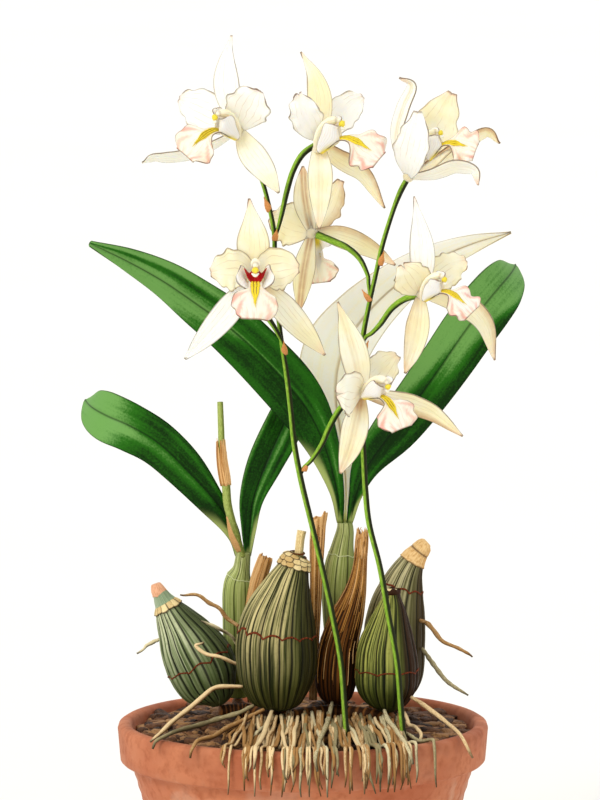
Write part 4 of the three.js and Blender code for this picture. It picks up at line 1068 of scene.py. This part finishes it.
make_leaf("pale", [
    [17.3, 160.5, 19.6], [17.7, 175.9, 22], [15.8, 195.2, 28], [13.5, 214.4, 31], [16.2, 231, 33],
    [25.8, 246, 34], [38.9, 258.7, 34], [53.5, 268.3, 33], [69.7, 275.3, 31], [85.5, 279.9, 28],
],
    [1.2, 3.5, 8.5, 14.6, 16.2, 13.1, 9.6, 6.9, 3.9, 0.2],
    [1.2, 3.5, 6.9, 10, 11.2, 10.4, 8.9, 6.5, 3.9, 0.2],
    bands_pale, seed=63, finish=LEAF_PALE, node="leaf_pale_behind")

make_leaf("low_left", [
    [-26.6, 146.7, 17], [-28.1, 155.5, 16], [-34.6, 167.8, 14], [-47, 181.7, 11], [-58.9, 193.2, 9],
    [-70.5, 200.2, 9], [-80.1, 204.4, 13], [-86.6, 207.9, 22], [-90.1, 211, 34],
],
    [1.2, 3.1, 6.9, 8.5, 9.6, 10.4, 10.4, 7.7, 0.2],
    [1, 2.3, 3.5, 7.7, 8.9, 9.6, 10, 7.3, 0.2],
    bands_low_left, seed=64, pale=0.1, fold=(-1, 0.3))

make_leaf("back_left", [
    [-22.7, 146.7, 17], [-21.9, 157.8, 19], [-20.4, 170.1, 21], [-15.4, 184.4, 23],
    [-8.5, 199.8, 27], [-4.6, 209.8, 34], [-2.3, 217.5, 45],
],
    [1.2, 3.5, 5.8, 7.7, 7.7, 5.8, 0.2],
    [1.2, 2.7, 4.2, 6.9, 8.1, 5.8, 0.2],
    bands_back_left, seed=65, pale=0.08, fold=(1, 0.3))


# Scapes and flower stalks
def stalk_painted_shade(t, angle, outward):
    """Painted light and shade: lime on the lit left side, painted shade in olive brown on the right side."""
    return stack(0.15, smooth(-0.15, 0.35, outward[..., 0] - 0.25 * outward[..., 1]), 0, 0)


def make_bract(body, base, tip, reach):
    """Small brown leaf that wraps half of a scape."""
    low, high = at(base), at(tip)
    axis = unit(high - low)
    out = unit(np.array(reach, float) - np.dot(reach, axis) * axis)
    t = np.linspace(0, 1, 14)[:, None]
    half = 2.2
    a = np.linspace(-half, half, 15)[None, :]
    wide = 1.15 * (0.86 + 0.14 * smooth(0, 0.25, t)) * (1 - 0.85 * smooth(0.35, 1.0, t))
    spread = spokes(out, np.cross(axis, out), a)
    rise = (0.35 * t + 0.9 * t ** 2)[..., None] * out
    up = (high - low) * 0.82 * t[..., None] * (1 - 0.25 * (a / half)[..., None] ** 2)
    marks = stack(0, 0.5 * smooth(0.8, 1, np.abs(a) / half) + 0.5 * (1 - smooth(0, 0.1, t)), 0, 0)
    shell(body, low + up + spread * wide[..., None] + rise, 0.35, stack(a, 12 * t, 0), marks, 1)


def make_scape(side, stations, bracts):
    body = Body()
    tube(body, *path(stations), 18, 180,
         lambda t, a: 1 + 0.035 * np.cos(6 * a) + 0.02 * np.sin(40 * t), stalk_painted_shade)
    for bract in bracts:
        make_bract(body, *bract)
    make(f"scape_{side}_visual", body, [STALK, BRACT], [f"scape_{side}"])


def make_pedicel(number, stations):
    body = Body()
    tube(body, *path(stations), 18, 50,
         lambda t, a: 1 + 0.07 * np.cos(6 * a + 1.5 * t) * smooth(0.2, 0.7, t), stalk_painted_shade)
    make(f"stalk_{number}", body, [STALK], [f"pedicel_{number}"])


make_scape("left", [
    [17.7, 75.4, -34, 1.2], [16.9, 85.8, -31, 1.2], [15.4, 104.7, -27, 1.2], [11.9, 123.9, -23, 1.2],
    [7.7, 143.2, -20, 1.2], [3.1, 162.4, -18, 1.2], [-0.8, 178.6, -18, 1.2], [-3.5, 193.2, -18, 1.2],
    [-5, 207.5, -18, 1.1], [-6.5, 220.6, -18, 1.1], [-8.5, 233.7, -17, 1], [-10.4, 248.3, -16, 1],
    [-11.6, 262.5, -15, 1], [-11.6, 277.9, -15, 1], [-14.2, 291.4, -14, 0.9], [-17.3, 301.8, -13, 1],
    [-21.6, 311.4, -11, 1.2], [-25.4, 319.1, -12, 1.2],
], [
    ([-7.3, 229.4, -17], [-8.5, 236.4, -18], (0.3, -1, 0)),
    ([0.4, 182.1, -18], [0.8, 186.7, -18], (1, -0.6, 0)),
    ([-11.4, 275.6, -15], [-11.2, 281.4, -16], (0.5, -1, 0)),
    ([-13.5, 287.2, -14], [-15.8, 294.9, -15], (-0.3, -1, 0)),
])

make_scape("right", [
    [40.8, 73.9, -36, 1.2], [39.7, 85.8, -35, 1.2], [38.1, 104.7, -33, 1.2], [34.6, 123.9, -31, 1.2],
    [31.2, 143.2, -29, 1.2], [26.9, 160.5, -25, 1.2], [25.4, 174, -21, 1.2], [24.6, 189.4, -17, 1.2],
    [23.9, 204.8, -14, 1.1], [23.9, 220.2, -12, 1.1], [24.3, 235.6, -12, 1.1], [26.6, 248.7, -12, 1],
    [29.3, 261, -12, 1], [32.3, 274.1, -12, 1], [36.2, 286.8, -12, 1], [39.3, 294.9, -12, 1.2],
    [42.4, 300.7, -12, 1.2],
], [
    ([24.3, 229.8, -12], [26.2, 236.8, -13], (0.7, -1, 0)),
    ([27.3, 251, -12], [24.3, 257.5, -12], (-1, -0.7, 0)),
    ([31.2, 265.6, -12], [32.7, 272.6, -13], (0.2, -1, 0)),
])

make_pedicel(2, [
    [-11.2, 277.2, -15, 0.8], [-10, 280.6, -15, 0.8], [-8.5, 286.4, -15, 1], [-6.5, 295.3, -15, 1.2],
    [-3.9, 303.7, -15, 1.2], [0, 310.3, -15, 1.3], [5.8, 314.5, -14, 1.2],
])
make_pedicel(3, [
    [-7.3, 231, -17, 0.8], [-8.5, 234.8, -18.5, 0.8], [-11.2, 239.8, -21.5, 1],
    [-14.6, 245.2, -23, 1.2], [-17.7, 251.8, -24, 1.3], [-19.6, 258.7, -25, 1.4],
])
make_pedicel(4, [
    [-0.8, 181.3, -18, 0.8], [0.4, 183.6, -18, 0.8], [3.5, 186.7, -19, 0.9], [7.7, 193.2, -21, 1.1],
    [10.8, 200.2, -23, 1.2], [15.4, 207.9, -25, 1.3], [21.2, 212.5, -27, 1.4],
])
make_pedicel(6, [
    [24.3, 234.8, -12, 0.8], [25.8, 236.8, -13, 0.8], [28.1, 238.3, -14, 0.9], [31.6, 242.1, -16, 1.1],
    [35.8, 247.9, -18, 1.2], [41.2, 251.8, -20, 1.3], [47, 253.3, -22, 1.3],
])
make_pedicel(7, [
    [27.3, 253.3, -12, 0.8], [26.6, 257.9, -11.5, 0.8], [26.2, 261.8, -9, 0.9], [23.1, 268.3, -6, 1.1],
    [18.1, 272.9, -3, 1.2], [12.3, 275.6, 0, 1.4], [5.8, 278.3, 3, 1.5],
])


# Flowers: sepals and petals from the hub outward, with what makes each look its own
def tepal(shape, width, stations, turn=(0, 0), **look):
    return shape, width, stations, turn, look


top = partial(tepal, TOP_SHAPE)
sepal = partial(tepal, SEPAL_SHAPE)
petal = partial(tepal, PETAL_SHAPE)


def make_tepal(body, seed, centre, shape, width, stations, turn, look):
    wavy = shape is PETAL_SHAPE
    ruffle = waves(seed, 4, 8, 22)
    jag = waves(seed + 200, 4, 10, 26)
    halves = [share * width / 2 for share in shape]
    points = [centre] + [at(s) for s in stations]
    size = look.get("ruffle", 0.9 if wavy else 0.25)

    def lift(t, u, offset):
        bowl = 0.12 * (np.sqrt(offset ** 2 + 0.5) - 0.7)
        frill = size * np.abs(u) ** 3 * ruffle(t * 1.3 + 2 * np.sign(u)) * smooth(0.15, 0.5, t)
        return bowl + frill - 0.22 * peak(offset, 0, 0.5)

    grid, t, u, offset = blade(points, halves, halves, turn, lift, 34)
    if wavy:
        side = unit(np.gradient(grid, axis=1))
        grid = grid + side * (0.55 * u ** 3 * jag(t * 1.5 + 3 * np.sign(u)) * smooth(0.2, 0.5, t))[..., None]
    notch = look.get("notch", 0.25) * peak(u, 0, 0.22) * smooth(0.45, 1.0, t)
    grid = grid - unit(points[-1] - points[-2]) * notch[..., None]
    # Painted tan shade near the base, in bands beside the midrib, and over one side.
    shade = look.get("shade", 0.1) * (1 - smooth(0.0, 0.35, t))
    shade += look.get("stripe", 0) * peak(np.abs(offset), 0.8, 0.6)
    shade += look.get("dark_left", 0) * smooth(0.1, 0.9, -u) + look.get("dark_right", 0) * smooth(0.1, 0.9, u)
    pink = look.get("pink", 0.35) * smooth(0.8, 1.0, t)
    edge = np.maximum(smooth(0.93, 1.0, np.abs(u)), smooth(0.985, 1.0, t))
    marks = stack(np.clip(shade, 0, 1), pink, edge, look.get("white", 0.0))
    shell(body, grid, 0.5 + 0.3 * (1 - u ** 2), stack(u, t, 0), marks)


def make_tepals(number, hub, face, blades):
    body = Body()
    centre = at(hub)
    knob = centre + unit(np.array(face, float)) * np.array([-1.6, -0.6, 0.8, 2.1])[:, None]
    tube(body, knob, [1.1, 2.1, 2.2, 0.9], 18, 10, marks=(0.3, 0, 0, 0))
    for i, shape in enumerate(blades):
        make_tepal(body, number * 10 + i, centre, *shape)
    make(f"flower_{number}_petals", body, [TEPAL], [f"flower_{number}_tepals"])


class Lip:
    """Lip and column, in measures forward, upward and sideways from their base.

    Twist turns the outer lobe, and wide opens the side lobes.
    """

    def __init__(self, number, base, ahead, crown, droop, size, twist, wide=0.62):
        self.number, self.size, self.wide = number, size, wide
        self.twist = math.radians(twist)
        self.centre = at(base)
        ahead = unit(np.array(ahead, float))
        up = np.array(crown, float)
        self.up = unit(up - up.dot(ahead) * ahead)
        self.side = np.cross(self.up, ahead)
        self.axes = np.array([ahead, self.up, self.side])
        level = np.array([(1.2, -0.3), (6, -1.9), (11, -2.8), (15, -4.4), (19.5, -5.5), (24, -7)])
        hanging = np.array([(1.2, -0.3), (6, -1.9), (11, -2.8), (14.2, -6.6), (15.6, -12), (16.2, -17.4)])
        self.path = level + (hanging - level) * droop

    def world(self, *measures):
        return self.centre + self.size * stack(*measures) @ self.axes

    def over(self, t, offset, rise):
        """Points over the lip's own surface, that far to its side and that far above it."""
        line, step = trail(self.path, t)
        angle = self.twist * smooth(0.42, 0.75, t)
        away = 1 if self.side[1] > 0 else -1
        shape = (-1,) + (1,) * (np.ndim(offset) - 1)
        parts = (*line.T, *step.T, np.cos(angle), np.sin(angle) * away)
        line_f, line_u, step_f, step_u, cos, sin = (part.reshape(shape) for part in parts)
        over = offset * sin + rise * cos
        return self.world(line_f - step_u * over, line_u + step_f * over, offset * cos - rise * sin)

    def middle_lobe(self, body):
        t = np.linspace(0, 1, 49)[:, None]
        u = ACROSS_FINE[None, :]
        jag = waves(self.number + 300, 5, 9, 24)
        ruffle = waves(self.number + 400, 4, 9, 20)
        half = spline([1.3, 2.4, 2.6, 2.7, 3.1, 2.8], t[:, 0])[:, None] + 5.0 * smooth(0.52, 0.67, t)
        half = half * (1 - 0.4 * smooth(0.85, 1.0, t) ** 2)
        offset = u * half * (1 + 0.12 * jag(t * 1.5 + 2 * np.sign(u)) * smooth(0.45, 0.6, t))
        outer = smooth(0.48, 0.7, t)
        frill = 1.7 * np.abs(u) ** 2 * ruffle(t * 1.7 + 3 * np.sign(u)) - 0.02 * offset ** 2
        grid = self.over(t[:, 0], offset, 0.2 * np.abs(offset) * (1 - outer) + outer * frill)
        ray = np.arctan2((t - 0.5) * 2.2, np.abs(u) + 0.001)
        streak = smooth(0.3, 0.9, 0.5 + 0.5 * np.sin(17 * ray + self.number + 2 * np.sign(u)))
        border = np.maximum(smooth(0.3, 0.6, np.abs(u)), 0.6 * smooth(0.84, 0.96, t))
        pink = outer * border * (0.12 + 0.88 * streak)
        edge = np.maximum(smooth(0.94, 1.0, np.abs(u)), smooth(0.975, 1.0, t))
        # Painted tan shade at the base and in the fold where the outer lobe bends down.
        shade = 0.3 * (1 - smooth(0.0, 0.3, t)) + 0.25 * peak(t, 0.5, 0.08)
        marks = stack(shade, np.clip(pink, 0, 1) * 0.75, edge, 0.35)
        shell(body, grid[:, ::-1], 0.5, stack(u, t, smooth(0.42, 0.15, t))[:, ::-1], marks[:, ::-1])

    def throat(self, body):
        """Red funnel round the column."""
        a = np.linspace(-1, 1, 21)[None, :]
        b = np.linspace(0, 1, 14)[:, None]
        gape = max(0.0, (self.wide - 0.62) / 0.38)
        f = 3.0 + 2.2 * gape + (3.2 + (1.6 - 0.8 * np.abs(np.sin(7 * a))) * gape) * b
        s = a * (0.8 + 0.4 * gape + (1.2 + 1.7 * gape) * b)
        h = 0.4 - (1.8 + gape) * b + (0.8 + 0.6 * gape + (1.4 + 3.4 * gape) * b) * np.abs(a) ** 2.2
        h = h + gape * 4.2 * (1 - smooth(0, 0.45, b)) * (1 - 0.55 * a ** 2)
        shell(body, self.world(f, h, s)[:, ::-1], 0.3, stack(a * 3, 9 * b, 0), skin=2)

    def side_lobe(self, body, hand):
        """Lobe that rises on one side of the column."""
        v = np.linspace(0, 1, 26)[:, None]
        q = np.concatenate([np.linspace(0, 0.85, 14), [0.92, 0.97, 1.0]])[None, :]
        if self.wide > 0.9:
            low = -1.0 - 2.2 * v - 2.6 * v ** 2
            tall = 8.2 * np.maximum(np.sin(math.pi * (0.06 + 0.76 * v)), 0.02) ** 0.62
            f = 3.2 + 9.6 * v + 1.1 * np.sin(math.pi * q) * (v - 0.3)
        else:
            low = -1.4 - 2.2 * v + 5.4 * smooth(0.55, 1.0, v) ** 1.5
            tall = (0.8 + 5.2 * np.sin(1.45 * v ** 0.9) - 1.9 * smooth(0.78, 1.0, v) ** 2) - low
            f = 2.4 + 12.2 * v + np.sin(math.pi * q) * (v - 0.35)
        tall = tall * (1 + 0.04 * np.sin(8 * v + self.number + hand))
        spread = (2.3 + 3.1 * v ** 1.3) * self.wide
        ripple = 0.3 * q ** 3 * np.sin(10 * v + self.number)
        s = 1.6 + spread * (1 - (1 - q) ** 3) - 0.9 * q ** 2 * (1 - v) + ripple
        grid = self.world(f, low + q * tall, hand * s)
        edge = np.maximum(smooth(0.94, 1.0, q), np.maximum(smooth(0.96, 1.0, v), smooth(0.04, 0.0, v)))
        yellow = smooth(0.62, 0.15, q + 0.45 * v) * (0.4 + 0.6 * smooth(0.7, 0.2, v))
        # Painted tan shade at the back of the lobe.
        marks = stack(0.15 * smooth(0.4, 0, v), 0, edge, 0.9)
        place = stack(q * 2 - 1, 0.2 + 0.5 * v, yellow)
        shell(body, grid[:, ::-hand], 0.42, place[:, ::-hand], marks[:, ::-hand])

    def keel(self, body, aside, wide, high, last):
        """Yellow ridge along the middle."""
        t = np.linspace(0.3, last, 11)
        gap = aside * (1 - 0.75 * smooth(0.5, 1, (t - 0.3) / (last - 0.3))) + 0.1 * np.sin(t * 40 + aside)
        radii = self.size * wide * np.array([0.3, 0.8, 1, 1.1, 1.1, 1, 0.95, 0.85, 0.7, 0.45, 0.15])
        tube(body, self.over(t, gap, high), radii, 12, 50, lambda t, a: 1 + 0.1 * np.sin(50 * t),
             lambda t, a, o: stack(0, 0.7 * np.abs(np.cos(a)) ** 14, 0, 0), 1)

    def column_marks(self, t, a, outward):
        # Painted tan shade at the column's base and on its underside, and a dark edge line round the hood.
        painted_shade_under = smooth(0.3, 0.95, -(outward * self.up).sum(-1)) * smooth(0.3, 0.6, t)
        rim = peak(t, 0.9, 0.03) * (1 - painted_shade_under)
        return stack(0.25 * (1 - smooth(0, 0.4, t)) + 0.5 * painted_shade_under, 0, 0.5 * rim, 0.5)

    def column(self, body):
        """Column with its hood, yellow anther and white stigma."""
        points = self.world([0.6, 3.6, 7.5, 11, 14, 15.8], [0.3, 3.0, 4.9, 5.2, 4.3, 2.5], 0)
        radii = self.size * np.array([1.0, 1.35, 1.5, 1.65, 1.6, 0.5])
        tube(body, points, radii, 24, 36, lambda t, a: 1 + 0.05 * np.cos(3 * a), self.column_marks)
        anther = self.world(15.5, [2.2, 1.2, 0.1], 0)
        radii = self.size * np.array([0.75, 1.2, 0.35])
        tube(body, anther, radii, 20, 14, lambda t, a: 1 + 0.12 * np.cos(2 * a), skin=1)
        across = np.array([-1.4, -0.7, 0, 0.7, 1.4])
        stigma = self.world(14.6, -0.5 + 0.6 * np.abs(across), across)
        radii = self.size * np.array([0.15, 0.5, 0.6, 0.5, 0.15])
        tube(body, stigma, radii, 14, 12, marks=(0, 0, 0, 1))


def make_lip(number, **measures):
    lip = Lip(number, **measures)
    body = Body()
    lip.middle_lobe(body)
    lip.throat(body)
    lip.side_lobe(body, 1)
    lip.side_lobe(body, -1)
    lip.keel(body, aside=1.15, wide=0.52, high=0.55, last=0.78)
    lip.keel(body, aside=-1.15, wide=0.52, high=0.55, last=0.78)
    lip.keel(body, aside=0, wide=0.45, high=0.65, last=0.84)
    flower_name = f"flower_{number}"
    make(f"{flower_name}_labellum", body, [LIP, KEEL, THROAT], [f"{flower_name}_lip"])
    body = Body()
    lip.column(body)
    make(f"{flower_name}_column_visual", body, [COLUMN, ANTHER], [f"{flower_name}_column"])


def flower(number, hub, face, blades, **lip):
    make_tepals(number, hub, face, blades)
    make_lip(number, **lip)


flower(1, [-25.8, 320.3, -12], (-0.78, -0.5, -0.22), [
    top(10.8, [[-30.4, 335.7, -12], [-30.8, 347.2, -10], [-28.9, 358.4, -7]], (20, 10), white=0.9),
    petal(17.7, [[-23.5, 326.5, -19], [-20.4, 331.5, -25], [-17.7, 335.3, -28]], white=0.9),
    petal(16.2, [[-35, 325.7, -5], [-43.5, 330.3, 0], [-50.4, 333.4, 4]], white=0.9),
    sepal(7.7, [[-38.1, 314.1, 0], [-51.2, 310.3, 5], [-60.4, 309.9, 7], [-65.5, 307.6, 8]],
          (50, 50), white=0.8, pink=0),
    sepal(10.8, [[-21.6, 311.8, -17], [-15.4, 303.4, -20], [-9.6, 294.5, -20]], pink=0.3, white=0.3),
], base=[-25.8, 316.4, -16], ahead=(-0.63, -0.55, 0.5), crown=(0.5, 0, 0.8), droop=1, size=1.04, twist=40)

flower(2, [6.2, 316.1, -14], (0.82, -0.5, -0.05), [
    top(10, [[6.9, 329.5, -14], [4.6, 341.5, -12], [-0.8, 351.5, -11]], (-20, -10), shade=0.2),
    petal(12.7, [[2.7, 321.8, -20], [0, 328, -25], [-1.9, 334.2, -28]], white=1, notch=1),
    petal(13.1, [[13.1, 324.1, -6], [18.9, 330.3, 0], [24.3, 334.5, 5]], white=0.9),
    sepal(9.2, [[14.2, 309.5, -8], [24.6, 302.6, -6], [33.1, 288.7, -6]], (-30, -30), dark_left=0.8),
    sepal(10, [[6.9, 304.9, -20], [6.9, 292.6, -22], [6.5, 279.9, -21]], stripe=0.25),
], base=[5.4, 310.3, -18], ahead=(0.64, -0.36, 0.66), crown=(-0.6, 0, 0.7), droop=1, size=1.12, twist=38)

flower(3, [-19.6, 261.4, -26], (0, -1, -0.12), [
    top(13.1, [[-20, 272.2, -26], [-20.4, 281.8, -25], [-21.6, 292.2, -22]], pink=0.5, shade=0.35),
    petal(16.6, [[-25.8, 263.3, -27], [-31.2, 263.3, -28], [-37.3, 262.5, -27]], shade=0.5),
    petal(17.3, [[-13.5, 263.3, -27], [-7.7, 264.1, -28], [-1.5, 264.1, -27]], shade=0.2),
    sepal(10.8, [[-27.7, 250.2, -25], [-37.7, 238.3, -24], [-47.7, 227.5, -21]], white=1, pink=0),
    sepal(10.8, [[-9.6, 250.2, -25], [0, 239.4, -25], [8.9, 229.1, -23]], shade=0.95, pink=0.5),
], base=[-19.1, 257.2, -28], ahead=(0, -0.93, 0.37), crown=(0, 0, 1), droop=1, size=1.1, twist=0, wide=1.0)

flower(4, [23.5, 213.7, -28], (0.76, -0.62, -0.1), [
    top(11.6, [[21.2, 227.1, -29], [17.7, 239.4, -28], [13.9, 250.6, -25]], (-15, -10), stripe=0.3),
    petal(17.7, [[20.4, 213.7, -36], [16.9, 213.7, -41], [13.1, 213.3, -43]],
          white=0.35, notch=3.2, ruffle=0.5),
    petal(13.9, [[28.1, 219.4, -22], [33.1, 224.8, -16], [38.1, 229.4, -11]]),
    sepal(9.2, [[37.3, 211, -23], [51.6, 206.3, -21], [64.7, 196.3, -21]], (-20, -20), dark_right=0.9),
    sepal(10.8, [[21.6, 202.9, -32], [18.9, 191.7, -34], [15, 181.3, -33]], shade=0.9, stripe=0.45),
], base=[23.5, 212.5, -31], ahead=(0.72, -0.64, 0.25), crown=(-0.2, 0, 1), droop=0.95, size=0.98, twist=38)

flower(5, [42.4, 301, -12], (0.7, -0.3, 0.75), [
    sepal(9.6, [[38.1, 315.7, -11], [40.4, 328, -10], [44.3, 338, -9], [38.9, 341.1, -9]],
          (60, 60), stripe=0.5, white=0.7),
    petal(14.2, [[42.7, 308, -20], [44.7, 316.4, -26], [46.2, 326.8, -28]], (40, 0), white=1, pink=0.05),
    petal(19.2, [[49.7, 313.4, -2], [54.7, 324.1, 5], [60.8, 336.1, 10]], (-10, 0), shade=0.3),
    sepal(8.5, [[52.4, 307.2, -2], [64.3, 314.5, 3], [74.7, 319.9, 5], [80.1, 315.3, 6]],
          (-45, -45), dark_left=0.9),
    sepal(9.2, [[51.6, 302.2, -17], [61.2, 305.3, -20], [68.9, 303.7, -21], [70.5, 297.6, -20]],
          (-50, -50), pink=0.8, white=0.6),
], base=[49.7, 307.2, -15], ahead=(0.48, -0.3, 0.82), crown=(-0.85, 0, 0.5), droop=0.9, size=0.9, twist=58)

flower(6, [47.4, 254.1, -22], (0.8, -0.5, -0.15), [
    top(10.4, [[48.1, 267.9, -22], [47, 280.6, -18], [45, 293.3, -13]], (-15, -10), white=1),
    petal(15.4, [[45, 257.9, -28], [42.4, 261.8, -32], [39.7, 265.6, -34]], shade=0.3, notch=2.5),
    petal(13.9, [[53.9, 260.6, -15], [60.1, 264.9, -10], [66.2, 267.9, -6]]),
    sepal(10, [[62, 251, -15], [73.2, 242.9, -13], [77.8, 227.1, -12]], (-20, -20), dark_left=0.6),
    sepal(9.6, [[46.6, 243.3, -25], [44.7, 232.5, -26], [41.2, 221.7, -24]], dark_right=0.5, stripe=0.3),
], base=[47.7, 251, -26], ahead=(0.66, -0.45, 0.56), crown=(-0.5, 0, 0.75), droop=1, size=0.94, twist=26)

flower(7, [3.5, 279.1, 5], (0.2, 0.76, -0.62), [
    sepal(9.6, [[1.5, 288.7, 6], [0.4, 297.2, 5], [0, 306.1, 3]], stripe=0.9),
    petal(17.7, [[-2.3, 281.8, 8], [-7.7, 283.7, 9], [-13.9, 285.3, 9]]),
    petal(11.6, [[8.1, 286.4, 8], [11.9, 293.3, 9], [15.4, 300.7, 8]], dark_right=0.7),
    sepal(8.9, [[1.2, 268.3, 7], [-0.4, 257.9, 8], [-1.5, 247.1, 8]], stripe=0.9),
    sepal(9.2, [[14.2, 277.9, 6], [26.2, 273.3, 5], [37.7, 266, 2]], dark_left=0.7, pink=0.6),
], base=[3.5, 279.1, 5], ahead=(0.2, 0.76, -0.62), crown=(0, 0.6, 0.8), droop=0.6, size=0.95,
    twist=0, wide=0.8)


# Roots
def rough_root(body, points, radii, rng, amount, steps=0, skin=0, sides=12):
    """Root whose way wanders a little and whose tip is brown and thin, with painted shade on its right side
    and underside.
    """
    steps = steps or 10 * (len(points) - 1)
    t = np.linspace(0, 1, steps // 2)
    seeds = rng.integers(0, 9999, 3)
    sway = np.stack([waves(seed, 4, 6, 22)(t) for seed in seeds], -1)
    line = spline(points, t) + sway * smooth(0, 0.15, t)[:, None] * amount * np.array([1, 0.7, 0.6])
    tone = rng.uniform(-0.35, 0.35) if sides > 8 else rng.uniform(-0.3, 0.85)
    knot = waves(seeds[0] + 1, 4, 20, 60)

    def marks(t, angle, outward):
        # Painted shade on the right side and underside of the root.
        dark = smooth(-0.35, 0.9, 0.55 * outward[..., 0] - 0.75 * outward[..., 2])
        return stack(tone + 0.5 * dark, np.clip(0.75 * smooth(0.84, 1, t) + 0.85 * dark ** 1.5, 0, 1), 0, 0)

    tube(body, line, spline(radii, t), sides, steps,
         lambda t, a: 1 + 0.09 * knot(t) + 0.05 * np.sin(2 * a + 9 * t), marks, skin)


ROOTS = {
    "left": [
        [[-23.9, 115.9, -4.5, 0.8], [-30.4, 121.6, -4, 1], [-36.2, 127, -5, 1],
         [-43.1, 130.9, -6, 0.8], [-50.4, 131.6, -7, 0.4]],
        [[-26.2, 110.1, -6, 0.8], [-30, 115.1, -9, 0.8], [-35.8, 118.6, -14, 0.8],
         [-41.6, 120.9, -16, 0.5]],
        [[-27.2, 103.5, -16, 0.8], [-32.7, 105.9, -18, 0.9], [-38.9, 107.4, -18, 0.9],
         [-43.5, 110.9, -17, 0.8], [-40.4, 112.4, -17, 0.5]],
        [[-58.9, 112.8, 4, 0.8], [-62.8, 110.9, 3, 0.9], [-67.8, 107, 2, 0.4]],
        [[-24.6, 94.3, -20, 0.8], [-34.6, 94.3, -22, 1.2], [-41.2, 90.1, -25, 1.2],
         [-48.1, 84.3, -32, 1.2], [-55.1, 78.5, -42, 1.1], [-59.7, 75.4, -48, 0.8],
         [-61.6, 73.1, -50, 0.5]],
        [[-20, 86.6, -19.3, 0.9], [-28.5, 82.8, -20, 1.2], [-37.7, 79.7, -18, 1.2],
         [-46.2, 77.8, -27, 1.2], [-54.3, 76.2, -43, 1], [-58.5, 74.3, -51, 0.8],
         [-60.4, 70.8, -53, 0.5]],
        [[-15.8, 85.1, -20.5, 0.9], [-24.3, 80.8, -24, 1.2], [-31.2, 77.8, -34, 1.2],
         [-37, 75.4, -50, 1.1], [-42, 74.3, -60, 1], [-44.3, 71.6, -66, 0.8],
         [-45, 68.1, -67, 0.5]],
    ],
    "middle": [
        [[-12.7, 84.3, -21, 0.9], [-14.2, 80.4, -30, 1.2], [-15.8, 76.6, -44, 1.2],
         [-17.3, 73.9, -62, 1.1], [-18.5, 72.7, -73, 1], [-19.2, 70, -78.5, 0.9],
         [-20, 63.9, -79, 0.5]],
        [[11.9, 87, -6, 0.9], [10.4, 81.6, -20, 1.2], [8.9, 77.4, -38, 1.2],
         [6.9, 74.3, -58, 1.1], [5.8, 72.4, -73, 1], [5, 69.3, -78.8, 0.9],
         [5.8, 63.1, -79.5, 0.5]],
    ],
    "right": [
        [[48.1, 120.5, 5.6, 0.8], [51.6, 118.9, 3, 1.1], [55.4, 113.9, 1, 1.1],
         [60.4, 110.5, -1, 0.9], [65.8, 108.5, -2, 0.8], [69.3, 105.5, -2, 0.4]],
        [[48.9, 108.9, 6, 0.8], [53.1, 103.5, 2, 1.1], [57, 97.4, -2, 1.1], [62, 93.9, -5, 0.9],
         [67.4, 90.1, -7, 0.4]],
        [[43.9, 90.1, -20, 0.8], [50.4, 86.2, -23, 1.1], [56.6, 81.6, -28, 1],
         [61.6, 77.4, -37, 0.9], [65.5, 72.7, -44, 0.8], [68.5, 66.6, -46, 0.5]],
        [[33.1, 84.7, -20.6, 0.8], [35, 80.4, -30, 1.1], [37.7, 77.4, -44, 1],
         [40.4, 74.7, -60, 0.9], [42.4, 70.8, -66.5, 0.8], [43.5, 65.4, -68, 0.5]],
    ],
}


def thin_root(rng, rim):
    """Way and radii of a root that runs out over the bark, and over the rim if it reaches that far."""
    x = rng.uniform(-27, 43)
    start = np.array([x, rng.uniform(-24, -12), rng.uniform(82.5, 86.5)])
    fan = x * rng.uniform(1.0, 1.35) + rng.normal(0, 2.5)
    far = math.sqrt(ROOT_RIM_RADIUS ** 2 - min(abs(fan), 60.0) ** 2)
    reach = 1.0 if rim else rng.uniform(0.5, 0.85)
    arch = rng.uniform(0.5, 3.6)
    points = [start]
    for along in (0.25, 0.5, 0.75):
        y = start[1] + (-far - start[1]) * along * reach
        level = bark_level(math.hypot(x, y)) + 1.0
        points.append(np.array([x + (fan - x) * along, y, level + arch * math.sin(math.pi * (along + 0.1))]))
    if rim:
        drop = rng.uniform(4, 17)
        points.append(np.array([fan, -far, 81.6]))
        points.append(np.array([fan * 1.02, -far * 1.045, 79.4]))
        points.append(np.array([fan * 1.03, -far * 1.055, 79 - 0.5 * drop]))
        points.append(np.array([fan * 1.03, -far * 1.06, 79 - drop]))
        points[-1][0] += rng.normal(0, 0.8)
    else:
        points.append(points[-1] + np.array([rng.normal(0, 1), -5, -3.2]))
    radii = np.array([0.7, 0.82, 0.8, 0.76, 0.72, 0.64, 0.55, 0.25][:len(points)])
    return points, rng.uniform(0.8, 1.15) * radii


def make_roots():
    rng = np.random.default_rng(71)
    for group, roots in ROOTS.items():
        body = Body()
        for i, stations in enumerate(roots):
            points, radii = path(stations)
            rough_root(body, points, 0.86 * np.array(radii), rng, 0.4, skin=i % 2)
        nodes = [f"root_{group}_{i + 1}" for i in range(len(roots))]
        make(f"roots_{group}", body, [ROOT, ROOT_GREY], nodes)
    body = Body()
    for i in range(THIN_ROOTS):
        points, radii = thin_root(rng, i % 3 > 0)
        rough_root(body, points, radii, rng, 0.35, 36, i % 4 == 0, 8)
    make("roots_bunch", body, [ROOT, ROOT_GREY], [])


make_roots()
